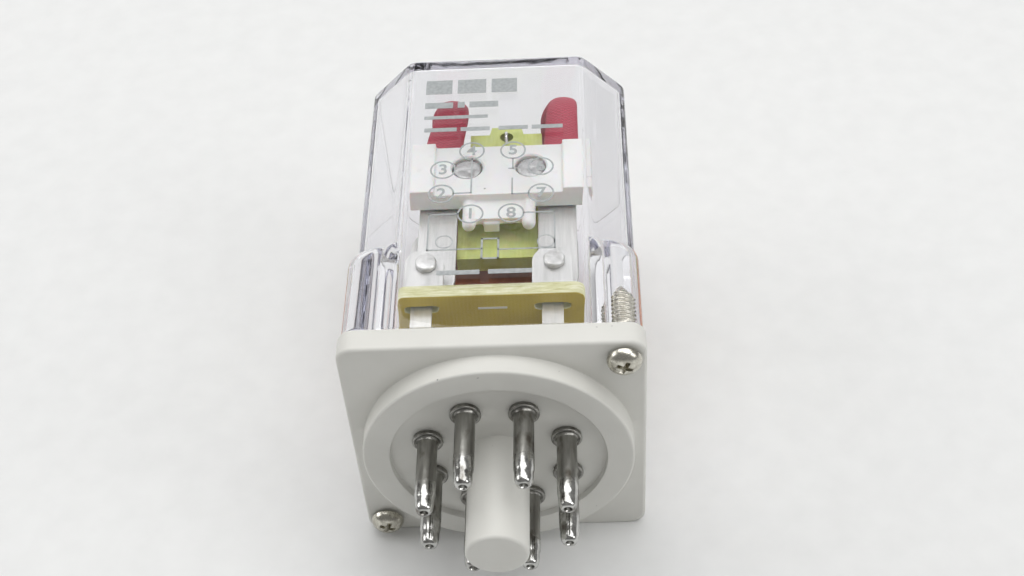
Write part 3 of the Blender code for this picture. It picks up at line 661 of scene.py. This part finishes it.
def build_base(material):
    """Flange, boss, recess and keyed post as one skin, with the rim and pillars behind it."""
    count = 288
    face_y, floor_y = -BOSS_H, RECESS_DEPTH - BOSS_H

    def circle(radius):
        return lambda angle: radius

    def post(radius):
        def reach(angle):
            u, v = abs(math.cos(angle)), -math.sin(angle)
            key = min(KEY_HALF_WIDTH / max(u, 1e-6), KEY_TOP_R / v) if v > 0 else 0
            return max(radius, key)

        return reach

    def square(inset):
        return lambda angle: square_reach(angle, FLANGE_HALF - inset, FLANGE_CORNER_R - 0.5 * inset)

    rings = [[(0, POST_END_Y, 0)]]
    tip = arc((POST_R - 0.45, POST_END_Y + 0.45), 0.45, -90, 0, 5)
    rings += [ring_of(circle(r), y, count) for r, y in tip]
    rings.append(ring_of(circle(POST_R), POST_END_Y + 1.0, count))
    rings.append(ring_of(post(POST_R), POST_END_Y + 1.15, count))
    rings.append(ring_of(post(POST_R), floor_y - 0.3, count))
    fillet = [(POST_R + 0.04, floor_y - 0.05), (POST_R + 0.15, floor_y)]
    rings += [ring_of(post(r), y, count) for r, y in fillet]
    profile = [(RECESS_R - 0.05, floor_y), (RECESS_R, floor_y - 0.05), (RECESS_R + 0.04, face_y + 0.1)]
    profile += [(RECESS_R + 0.14, face_y)]
    edge = 0.3
    profile += [(BOSS_R - edge - 0.3, face_y)] + arc((BOSS_R - edge, face_y + edge), edge, -90, 0, 6)
    profile += [(BOSS_R, -0.12), (BOSS_R + 0.12, 0)]
    rings += [ring_of(circle(r), y, count) for r, y in profile]
    flange = [(0.45, 0), (0.2, 0.07), (0.05, 0.2), (0, 0.45), (0, 2.85), (0.08, 3.08), (0.3, FLANGE_T)]
    rings += [ring_of(square(inset), y, count) for inset, y in flange]
    rings.append([(0, FLANGE_T, 0)])
    base = finish_mesh("base", add_loft(bmesh.new(), rings), sharp_deg=50)
    keep_flats(base)
    dress(base, material, ["base"])

    def rim(half, inset=0.0):
        flat = half - (COVER_HALF - COVER_FLAT_HALF)
        return lambda angle: octagon_reach(angle, half - inset, flat - 0.4 * inset)

    outer, inner, root_y = rim(RIM_OUTER_HALF), rim(RIM_OUTER_HALF - RIM_WALL), FLANGE_T - 0.1
    levels = [(inner, root_y), (outer, root_y), (outer, RIM_TOP_Y - 0.2)]
    levels += [(rim(RIM_OUTER_HALF, 0.2), RIM_TOP_Y), (rim(RIM_OUTER_HALF - RIM_WALL, -0.2), RIM_TOP_Y)]
    levels += [(inner, RIM_TOP_Y - 0.2), (inner, root_y)]
    bm = add_loft(bmesh.new(), [ring_of(reach, y, 192) for reach, y in levels], close=False)
    bmesh.ops.remove_doubles(bm, verts=bm.verts, dist=1e-5)
    top = BOARD_Y[0] - 0.3
    profile = [(0, root_y), (PILLAR_R, root_y), (PILLAR_R, top - 0.2), (PILLAR_R - 0.2, top), (0, top)]
    for side in SIDES.values():
        add_turned(bm, profile, "Y", (side * PILLAR_X, 0))
    dress(finish_mesh("base_rim", bm), material)


def pin_place(number):
    angle = math.radians(-90 - 360 / PIN_COUNT * (number - 0.5))
    return PIN_CIRCLE_R * math.cos(angle), PIN_CIRCLE_R * math.sin(angle)


def build_pins(material):
    """Pins with a rolled collar, a bored and crimped tip, and uneven solder on the outer half."""
    collar_y = RECESS_DEPTH - BOSS_H - 0.05
    tip = PIN_TIP_Y
    profile = [(0, tip + 0.9), (0.30, tip + 0.7), (0.38, tip + 0.22), (0.5, tip + 0.02), (0.66, tip + 0.02)]
    profile += [(0.85, tip + 0.16), (0.99, tip + 0.42), (1.06, tip + 0.8), (1.09, tip + 1.2)]
    profile += [(1.09, tip + 1.6), (1.12, tip + 1.85), (PIN_R, tip + 2.2), (PIN_R + 0.03, tip + 2.8)]
    profile += [(PIN_R + 0.03, tip + 3.8), (PIN_R, tip + 4.6), (PIN_R, tip + 7)]
    profile += [(PIN_R, collar_y - 0.95), (PIN_R + 0.05, collar_y - 0.72)]
    profile += [(PIN_R + 0.2, collar_y - 0.55), (PIN_R + 0.34, collar_y - 0.6)]
    profile += arc((COLLAR_R - 0.2, collar_y - 0.45), 0.2, -120, 60, 6)
    profile += [(COLLAR_R - 0.1, collar_y), (PIN_R, collar_y), (PIN_R, PIN_REAR_Y - 0.2)]
    profile += [(PIN_R - 0.2, PIN_REAR_Y), (0, PIN_REAR_Y)]
    for number in range(1, PIN_COUNT + 1):
        x, z = pin_place(number)
        bm = add_turned(bmesh.new(), profile, "Y", (x, z), 36)
        for vert in bm.verts:
            if tip + 1.6 < vert.co.y < tip + 4.8:
                lump = 1 + 0.03 * noise.noise(vert.co * 1.3)
                vert.co.x, vert.co.z = x + (vert.co.x - x) * lump, z + (vert.co.z - z) * lump
        dress(finish_mesh(f"pin_{number}", bm, 50), material, [f"pin_{number}"])


def build_cover(material):
    """An octagonal cup with a lobe at each corner that ends in a rounded shoulder."""
    count = 480

    def outer(strength, inset=0.0):
        def reach(angle):
            plain = octagon_reach(angle, COVER_HALF, COVER_FLAT_HALF)
            return plain + max(0.0, lobe_reach(angle) - plain) * strength - inset

        return reach

    def inner(inset):
        half = COVER_HALF - COVER_WALL - inset
        flat = COVER_FLAT_HALF - (COVER_WALL + inset) * math.tan(math.pi / 8)
        return lambda angle: octagon_reach(angle, half, flat, 150)

    levels = [(inner(0.0), COVER_MOUTH_Y), (outer(1, 0.12), COVER_MOUTH_Y), (outer(1), COVER_MOUTH_Y + 0.15)]
    levels += [(outer(1), LOBE_SHOULDER_Y - 4), (outer(1), LOBE_SHOULDER_Y)]
    steps = 9
    for i in range(1, steps + 1):
        rise = math.sin(math.pi / 2 * i / steps)
        drop = math.cos(math.pi / 2 * i / steps)
        levels.append((outer(drop), LOBE_SHOULDER_Y + (LOBE_TOP_Y - LOBE_SHOULDER_Y) * rise))
    levels += [(outer(0), LOBE_TOP_Y + 1), (outer(0), COVER_END_Y - 2), (outer(0), COVER_END_Y - 0.45)]
    for inset, up in arc((0.45, -0.45), 0.45, 180, 90, 4)[1:]:
        levels.append((outer(0, inset), COVER_END_Y + up))
    rings = [ring_of(reach, y, count) for reach, y in levels]
    rings.append([(0, COVER_END_Y, 0)])
    bm = add_loft(bmesh.new(), rings, close=False)
    depth = COVER_END_Y - COVER_END_WALL
    hollow = [(inner(0.0), COVER_MOUTH_Y)]
    hollow += [(inner(inset), depth + up) for inset, up in arc((0.35, -0.35), 0.35, 180, 90, 4)]
    rings = [ring_of(reach, y, count) for reach, y in hollow] + [[(0, depth, 0)]]
    made = [[bm.verts.new(point) for point in ring] for ring in rings]
    for ring, following in zip(made, made[1:]):
        for i in range(count):
            j = (i + 1) % count
            corners = (ring[j], ring[i], following[i % len(following)], following[j % len(following)])
            bm.faces.new(list(dict.fromkeys(corners)))
    bmesh.ops.remove_doubles(bm, verts=bm.verts, dist=1e-4)
    bmesh.ops.recalc_face_normals(bm, faces=bm.faces)
    cover = finish_mesh("cover", bm, sharp_deg=40)
    keep_flats(cover)
    dress(cover, material, ["cover"])


def thread_radius(y, angle, pitch, root, depth):
    """The radius of a helical thread at a height and an angle."""
    turn = ((y / pitch) - angle / math.tau) % 1
    return root + depth * (1 - abs(2 * turn - 1)) ** 0.8


def build_cover_screws(material):
    """Pan head, cross recess and a real thread that tapers to a point."""
    pitch, root_r, thread_depth, around, per_pitch = 0.6, 0.72, 0.22, 24, 8
    pan = [(0.5, -1.66), (1.0, -1.58), (1.45, -1.38), (1.8, -1.05), (1.96, -0.7), (2.0, -0.4)]
    pan += [(1.9, -0.28), (0.8, SCREW_SEAT_Y)]
    for name, (x, z) in COVER_SCREWS.items():
        rings = [[(x, -1.68, z)]]
        for r, y in pan:
            angles = [math.tau * i / 48 for i in range(48)]
            rings.append([(x + r * math.cos(a), y, z + r * math.sin(a)) for a in angles])
        head = add_loft(bmesh.new(), rings)
        obj = finish_mesh(name, head)
        for turn in (25, 115):
            spin = Matrix.Rotation(math.radians(turn), 3, "Y")
            rings = []
            for long, wide, y in ((1.2, 0.3, -1.9), (0.3, 0.15, -0.6)):
                corners = ((long, wide), (-long, wide), (-long, -wide), (long, -wide))
                rings.append([Vector((x, 0, z)) + spin @ Vector((a, y, b)) for a, b in corners])
            cut(obj, add_loft(bmesh.new(), rings))
        rings = []
        length = SCREW_END_Y - SCREW_SEAT_Y
        levels = int(length / pitch * per_pitch)
        for i in range(levels + 1):
            y = SCREW_SEAT_Y + length * i / levels
            taper = min(1.0, (SCREW_END_Y - y) / 1.6 + 0.08)
            ring = []
            for k in range(around):
                a = math.tau * k / around
                r = thread_radius(y, a, pitch, root_r, thread_depth) * taper
                ring.append((x + r * math.cos(a), y, z + r * math.sin(a)))
            rings.append(ring)
        shank = finish_mesh(name + "_thread", add_loft(bmesh.new(), rings), sharp_deg=60)
        round_edges(obj, 0.06, segments=2, angle_deg=40)
        dress(obj, material, [name])
        dress(shank, material)


def ragged_slot(bm, x, z, half_x, half_z, seed):
    """A slot through the board with chipped ends."""
    outline = []
    for i in range(40):
        a = math.tau * i / 40
        reach = (abs(math.cos(a) / half_x) ** 6 + abs(math.sin(a) / half_z) ** 6) ** (-1 / 6)
        reach *= 1 + 0.10 * noise.noise(Vector((2.2 * math.cos(a), 2.2 * math.sin(a), seed)))
        outline.append((x + reach * math.cos(a), z + reach * math.sin(a)))
    add_prism(bm, outline, "Y", BOARD_Y[0] - 1, BOARD_Y[1] + 1)


def build_board(material, ink):
    """Board with a ragged slot for each contact plate, and a short printed mark."""
    corner = 1.5
    (x0, x1), (z0, z1) = BOARD_X, BOARD_Z
    outline = arc((x1 - corner, z1 - corner), corner, 0, 90, 8)
    outline += arc((x0 + corner, z1 - corner), corner, 90, 180, 8)
    outline += [(x0, z0), (x1, z0)]
    board = finish_mesh("terminal_board", add_prism(bmesh.new(), outline, "Y", *BOARD_Y))
    slots = bmesh.new()
    for seed, (z, centres) in enumerate(((FRONT_PLATE_Z, FRONT_PLATE_X), (REAR_PLATE_Z, REAR_PLATE_X))):
        for x in centres:
            ragged_slot(slots, x, z, 2.05, 0.55, seed * 7.3 + x)
    cut(board, slots)
    round_edges(board, 0.12, segments=2)
    dress(board, material, ["terminal_board"])
    mark = add_block(bmesh.new(), (-1.75, BOARD_Y[0] - 0.04, 12.7), (1.65, BOARD_Y[0] + 0.01, 13.0))
    dress(finish_mesh("board_mark", mark), ink)


def build_contacts(silver):
    """Riveted silver contacts: a head on each side of the plate or blade, and the neck between."""
    r, neck_r = 1.27, 0.7
    for name, side in SIDES.items():
        x = FRONT_PLATE_X[side > 0] + 0.25
        rows = {"front_contact": (FRONT_PLATE_Z, 0.25, ROOT), "rear_contact": (REAR_PLATE_Z, 0.25, ROOT)}
        rows["moving_contact"] = (10.2, 0.2, ARM)
        for row, (z, half, body) in rows.items():
            low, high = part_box(f"{row}_{name}")
            bottom, top = low.z / MM - AXIS_Z, high.z / MM - AXIS_Z
            below, above = z - half - 0.05, z + half + 0.05
            profile = [(0, bottom), (0.8, bottom + 0.01), (r - 0.1, bottom + 0.08), (r, bottom + 0.2)]
            profile += [(r, below), (neck_r, below), (neck_r, above), (r, above), (r, top - 0.18)]
            profile += [(r - 0.12, top - 0.05), (neck_r, top), (0, top - 0.03)]
            bm = add_turned(bmesh.new(), profile, "Z", (x, CONTACT_Y), 40)
            dress(finish_mesh(f"{row}_{name}", bm), silver, [f"{row}_{name}"], body)


def build_carrier(white, rivet_metal):
    """White moulding with side ears, two pegs and a web, and a riveted pocket on each side of the middle."""
    (y0, y1), x = CARRIER_Y, CARRIER_X
    face_z, ear_z, wing_z = 13.2, 13.9, 10.7
    blocks = [((x - 11.2, y0, wing_z), (x + 11.2, y1, face_z))]
    for side in SIDES.values():
        edges = sorted((x + side * 8.05, x + side * 11.15))
        blocks.append(((edges[0], y0 + 0.05, wing_z + 0.2), (edges[1], y1 + 0.15, ear_z)))
    blocks.append(((x - 3.9, y0 + 0.1, 9.32), (x + 3.9, y1 - 0.1, 11.7)))  # pad towards the armature
    blocks.append(((x - 3.5, 24.9, 10.95), (x + 3.5, y0 + 0.5, 12.0)))  # web between the pegs
    blocks.append(((x - 1.9, 24.6, 9.9), (x, 25.6, 11.4)))  # lug at the web's end
    bm = bmesh.new()
    for low, high in blocks:
        add_block(bm, low, high)
    for side in SIDES.values():
        profile = [(0, 23.65), (0.4, 23.72), (0.7, 23.95), (0.85, 24.35), (0.85, y0 + 1), (0, y0 + 1)]
        add_turned(bm, profile, "Y", (x + side * 3.7, 11.5), 24)
    carrier = finish_mesh("contact_carrier", bm)
    remesh = carrier.modifiers.new("join", "REMESH")
    remesh.mode = "VOXEL"
    remesh.voxel_size = 0.13 * MM
    smooth = carrier.modifiers.new("soften", "SMOOTH")
    smooth.factor, smooth.iterations = 0.5, 4
    bake_modifiers(carrier)
    holes = bmesh.new()
    floor_z = 11.9
    profile = [(0, 8), (RIVET_HOLE_R, 8), (RIVET_HOLE_R, floor_z), (1.85, floor_z), (1.95, floor_z + 0.1)]
    profile += [(1.98, face_z - 0.15), (2.15, face_z), (2.4, face_z + 1), (0, face_z + 1)]
    for side in SIDES.values():
        add_turned(holes, profile, "Z", (x + side * RIVET_X, RIVET_Y), 40)
    cut(carrier, holes)
    dress(carrier, white, ["contact_carrier"], ARM)
    low, top = ARMATURE_Z[0] + 0.1, floor_z + 0.3
    profile = [(0, low), (0.75, low), (0.75, top), (1.6, top), (1.78, top + 0.12), (1.80, top + 0.5)]
    profile += [(1.72, top + 0.64), (1.5, top + 0.71), (1.2, top + 0.73), (0.8, top + 0.74)]
    profile += [(0.4, top + 0.74), (0, top + 0.74)]
    for name, side in SIDES.items():
        bm = add_turned(bmesh.new(), profile, "Z", (x + side * RIVET_X, RIVET_Y), 40)
        for vert in bm.verts:
            if vert.co.z > top + 0.4:
                vert.co.z += 0.09 * noise.noise(vert.co * 1.3 + Vector((3.1 * side, 0, 0)))
        piece = finish_mesh(f"carrier_rivet_{name}", bm, 50)
        dress(piece, rivet_metal, [f"carrier_rivet_{name}"], ARM)


def build_armature(zinc):
    """Plate with the spring's tab beyond its shoulders, and holes for the spring and the rivets."""
    outline = [
        (-4.9, 21.0), (5.1, 21.0), (5.1, 40.6), (5.7, 41.2), (5.7, 43.6), (3.3, 43.6),
        (3.0, 45.0), (-0.9, 45.0), (-1.2, 43.6), (-3.7, 43.6), (-3.7, 41.2), (-4.9, 40.6),
    ]
    armature = finish_mesh("armature", add_prism(bmesh.new(), outline, "Z", *ARMATURE_Z))
    holes = bmesh.new()
    low, high = ARMATURE_Z[0] - 1, ARMATURE_Z[1] + 1
    places = [(SPRING_X, SPRING_HOLE_Y, 0.87)]
    places += [(CARRIER_X + side * RIVET_X, RIVET_Y, RIVET_HOLE_R) for side in SIDES.values()]
    for x, y, r in places:
        add_turned(holes, [(0, low), (r, low), (r, high), (0, high)], "Z", (x, y), 32)
    cut(armature, holes)
    round_edges(armature, 0.16, segments=3)
    dress(armature, zinc, ["armature"], ARM)


def build_coil(red_brown, copper, dark):
    """Bobbin, a winding that shows its turns, and a near-black block at the bobbin's lower edge that paints
    the shade under the armature.
    """
    rear, front = BOBBIN_Z
    bore_r, tube_r, edge_r = 3.6, 4.3, BOBBIN_R - 0.15
    profile = [(bore_r, rear), (edge_r, rear), (BOBBIN_R, rear + 0.15), (BOBBIN_R, rear + 0.85)]
    profile += [(edge_r, rear + 1), (tube_r, rear + 1), (tube_r, front - 1), (edge_r, front - 1)]
    profile += [(BOBBIN_R, front - 0.85), (BOBBIN_R, front - 0.15), (edge_r, front), (bore_r, front)]
    bobbin = finish_mesh("bobbin", add_turned(bmesh.new(), profile, "Z", (0, COIL_Y), 96))
    dress(bobbin, red_brown, ["bobbin"])
    low, high, turns, per_turn, relief = rear + 1.3, front - 1.3, 34, 6, 0.17
    pitch = (high - low) / turns
    profile = [(WINDING_R[0], low)]
    for i in range(turns * per_turn + 1):
        swell = abs(math.sin(math.pi * i / per_turn)) ** 0.7
        profile.append((WINDING_R[1] - relief + relief * swell, low + pitch * i / per_turn))
    profile.append((WINDING_R[0], high))
    winding = finish_mesh("winding", add_turned(bmesh.new(), profile, "Z", (0, COIL_Y), 96), 70)
    dress(winding, copper, ["winding"])
    # Painted shade: a near-black block where the bobbin's lower edge lies in the shade under the armature
    block = add_block(bmesh.new(), (-2.3, 17.1, 2.6), (2.3, 18.6, 5.4))
    block = finish_mesh("painted_shade_block", block)
    round_edges(block, 0.35, segments=3)
    dress(block, dark)


def build_spring(steel):
    """Close-wound tension spring with a hook at each end."""
    coil_r, wire_r, turns, per_turn = 1.35, 0.22, 16, 18
    front_z, rear_z, axis_y = 4.6, -6.8, SPRING_HOLE_Y + 0.75
    hook = [(-1.3, 9.25), (-0.7, 9.75), (0.05, 9.7), (0.15, 8.2), (-0.1, 6.2)]
    route = smooth_route([(SPRING_X, SPRING_HOLE_Y + up, z) for up, z in hook], 0.3)
    for i in range(turns * per_turn + 1):
        a = math.radians(-90) + math.tau * i / per_turn
        z = front_z + (rear_z - front_z) * i / (turns * per_turn)
        route.append(Vector((SPRING_X + coil_r * math.cos(a), axis_y + coil_r * math.sin(a), z)))
    hook_y = SPRING_HOLE_Y + 1.0
    tail = [(-0.3, -8.9), (0, -10.2), (0, -13.0), (-1.2, -13.2)]
    tail = [route[-1], *((SPRING_X, hook_y + up, z) for up, z in tail)]
    route += smooth_route(tail, 0.4)[1:]
    spring = finish_mesh("return_spring", add_tube(bmesh.new(), route, wire_r, sides=8), 60)
    dress(spring, steel, ["return_spring"], body=None)
    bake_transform(spring)


def build_leads(red, copper):
    """Flat woven sleeves over the blades' tails, round copper braid inside them and bare at the pins."""
    for name, side in SIDES.items():
        left = side < 0
        top_x = BLADE_X[0] + 0.2 if left else BLADE_X[1] + 0.85
        crest_x = BLADE_X[0] + 1.35 if left else BLADE_X[1] + 0.95
        pin_x, pin_z = pin_place(2 if left else 7)
        points = [
            (top_x, 37.6, 10.6), (top_x + 0.3 * (crest_x - top_x), 40.0, 11.3), (crest_x, 43.4, 12.3),
            (crest_x + 0.1 * side, 46.0, 11.6), (7.3 * side, 46.9, 8.4), (7.0 * side, 46.9, 3.0),
            (6.8 * side, 46.7, -5.0), (6.6 * side, 46.2, -11.0), (6.5 * side, 43.6, -13.8),
            (6.5 * side, 38.0, -14.1), (6.5 * side, 28.0, -14.1), (6.5 * side, 18.0, -14.1),
            (6.5 * side, 11.0, -14.1), (6.8 * side, 7.8, -12.6), (7.6 * side, 5.8, -9.0),
            (8.0 * side, 5.6, -4.8), (pin_x, PIN_REAR_Y + 0.1, pin_z),
        ]
        route = smooth_route(points, 0.45)
        crest = max(range(len(route)), key=lambda i: route[i].y)
        end = next(i for i, point in enumerate(route) if i > crest and point.y < 10.5)
        widths = [1 + 1.2 * max(0.0, 1 - i / (1.6 * crest)) for i in range(end + 1)]
        bm = add_tube(bmesh.new(), route[: end + 1], 1.15, 24, widths, 0.85)
        sleeve = finish_mesh(f"lead_sleeve_{name}", bm, 60)
        dress(sleeve, red, [f"lead_sleeve_{name}"], body=None)
        braid = finish_mesh(f"lead_braid_{name}", add_tube(bmesh.new(), route, 0.55, 12), 60)
        dress(braid, copper, [f"lead_braid_{name}"], body=None)
        for piece in (sleeve, braid):
            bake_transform(piece)


# Printing on the cover: a numbered connection diagram, and plain bars where there was lettering


def add_line(bm, points, width=0.2):
    """Upright and level strokes."""
    half = width / 2
    for (xa, ya), (xb, yb) in zip(points, points[1:]):
        low = (min(xa, xb) - half, min(ya, yb) - half, PRINT_Z)
        add_block(bm, low, (max(xa, xb) + half, max(ya, yb) + half, PRINT_Z + INK_T))


def add_ring(bm, x, y, radius, width=0.22):
    inner, outer, top = radius - width / 2, radius + width / 2, PRINT_Z + INK_T
    profile = [(inner, PRINT_Z), (outer, PRINT_Z), (outer, top), (inner, top)]
    part = add_turned(bmesh.new(), profile, "Z", (x, y), 48)
    mesh = bpy.data.meshes.new("ring")
    part.to_mesh(mesh)
    part.free()
    bm.from_mesh(mesh)
    bpy.data.meshes.remove(mesh)


def add_digit(bm, digit, x, y, height):
    curve = bpy.data.curves.new("digit", "FONT")
    curve.body = digit
    curve.size = height * 1.38  # digits stand about 0.72 of the size
    curve.align_x, curve.align_y = "CENTER", "CENTER"
    curve.extrude = INK_T / 2
    curve.offset = 0.045  # thickens the strokes
    obj = bpy.data.objects.new("digit", curve)
    bpy.context.scene.collection.objects.link(obj)
    graph = bpy.context.evaluated_depsgraph_get()
    mesh = bpy.data.meshes.new_from_object(obj.evaluated_get(graph))
    mesh.transform(Matrix.Translation((x, y, PRINT_Z + INK_T / 2)))
    bm.from_mesh(mesh)
    bpy.data.objects.remove(obj)
    bpy.data.meshes.remove(mesh)


def build_print(ink):
    bm = bmesh.new()
    digits = {  # where each digit and its circle stand
        "4": (-2.76, 32.6), "5": (2.36, 32.5), "3": (-6.26, 29.35), "6": (5.8, 29.4),
        "2": (-6.35, 25.1), "7": (5.8, 24.7), "1": (-2.7, 21.45), "8": (2.2, 21.4),
    }
    for digit, (x, y) in digits.items():
        add_ring(bm, x, y, 1.5)
        add_digit(bm, digit, x, y, 1.75)
    x0, x1, y0, y1 = -1.21, 0.73, 13.99, 17.19  # the coil
    for y in (y0, y1):
        add_line(bm, [(x0, y), (x1, y)], 0.24)
    for x in (x0, x1):
        add_line(bm, [(x, y0), (x, y1)], 0.24)
    add_line(bm, [(x0, 15.6), (-7.66, 15.6), (-7.66, 21.5), (-4.2, 21.5)])
    add_line(bm, [(x1, 15.4), (7.38, 15.4), (7.38, 21.4), (3.7, 21.4)])
    add_line(bm, [(-4.85, 25.1), (-2.7, 25.1), (-2.7, 31.1)])
    add_line(bm, [(4.3, 24.7), (2.3, 24.7), (2.3, 27.4)])
    add_line(bm, [(2.36, 31.0), (2.36, 29.2)])
    add_line(bm, [(1.9, 29.2), (2.9, 29.2)])
    for x, y in ((6.34, 16.5), (-5.69, 16.9)):
        add_ring(bm, x, y, 1.0, 0.13)
    rows = {  # the lower and upper edge of each row of bars, and where each of its bars starts and ends
        (43.7, 46.4): ((-9.0, -5.6), (-4.9, -1.2), (-0.5, 2.8)),
        (40.9, 42.0): ((-9.0, -5.4), (-4.8, -3.9), (-3.3, 0.4)),
        (38.8, 39.4): ((-9.0, -0.9),),
        (36.4, 37.1): ((-8.9, -4.8), (-4.3, -0.6), (0.5, 4.2), (4.7, 8.6)),
        (11.5, 12.2): ((-6.4, -1.4), (-0.4, 4.7)),
    }
    for (y0, y1), bars in rows.items():
        for x0, x1 in bars:
            add_block(bm, (x0, y0, PRINT_Z), (x1, y1, PRINT_Z + INK_T))
    piece = finish_mesh("cover_print", bm)
    dress(piece, ink)


def main():
    make_camera()
    make_world()
    for name, (location, size, power) in SOFTBOXES.items():
        add_softbox(name, location, (0, 0, 0.015), size, power)
    make_floor()
    base_plastic = plastic("base_plastic", (0.71, 0.705, 0.665), (0.67, 0.665, 0.625), roughness=0.45)
    white = (0.86, 0.86, 0.83), (0.80, 0.80, 0.765)
    white = plastic("carrier_plastic", *white, roughness=0.35, subsurface=0.35)
    red_brown = phenolic()
    # Near-black plastic, used only for the block of painted shade under the armature
    dark = plastic("painted_shade_black", (0.03, 0.028, 0.025), (0.015, 0.014, 0.013))
    zinc = zinc_yellow()
    copper = winding_copper()
    silver = metal("contact_silver", (0.62, 0.62, 0.60), (0.44, 0.44, 0.42), 0.34, scratch=0.02, dirt=0.25)
    sheet = metal("contact_sheet", (0.56, 0.56, 0.54), (0.44, 0.44, 0.425), 0.38, stretch=(1, 0.08, 1))
    screw = metal("screw_metal", (0.72, 0.70, 0.62), (0.45, 0.43, 0.37), 0.22, scratch=0.006, dirt=0.5)
    rivet = metal("rivet_metal", (0.44, 0.44, 0.43), (0.28, 0.28, 0.275), 0.40, scratch=0.04, dirt=0.4)
    steel = metal("spring_steel", (0.62, 0.62, 0.62), (0.40, 0.40, 0.40), 0.25)
    iron = metal("core_iron", (0.52, 0.50, 0.47), (0.34, 0.33, 0.31), 0.32, dirt=0.2)
    tinned = metal("tinned_wire", (0.70, 0.69, 0.66), (0.45, 0.44, 0.42), 0.25, stretch=(1, 0.3, 1))
    red = woven("red_sleeve", (0.46, 0.022, 0.06), (0.26, 0.010, 0.028), 0.55, 2.6)
    braid = woven("copper_braid", (0.80, 0.42, 0.25), (0.30, 0.12, 0.06), 0.32, 2.6, metallic=1.0)
    ink = cover_ink()
    mark_ink = plastic("board_ink", (0.80, 0.80, 0.72), (0.70, 0.70, 0.62))

    build_base(base_plastic)
    build_pins(pin_metal())
    build_cover(clear_cover())
    build_cover_screws(screw)
    build_board(laminate(), mark_ink)
    build_contacts(silver)
    build_carrier(white, rivet)
    build_armature(zinc)
    build_coil(red_brown, copper, dark)
    build_spring(steel)
    build_leads(red, braid)
    build_print(ink)
    carry_over("yoke", zinc, 0.15)
    carry_over("core", iron, 0.1)
    for name in SIDES:
        carry_over(f"frame_screw_{name}", screw, 0.08)
        carry_over(f"front_plate_{name}", sheet, 0.08)
        carry_over(f"rear_plate_{name}", sheet, 0.08)
        carry_over(f"moving_blade_{name}", sheet, 0.06)
    for number in range(3, 7):
        carry_over(f"plate_wire_{number}", tinned)
    for number in (1, 8):
        carry_over(f"coil_wire_{number}", copper)


main()
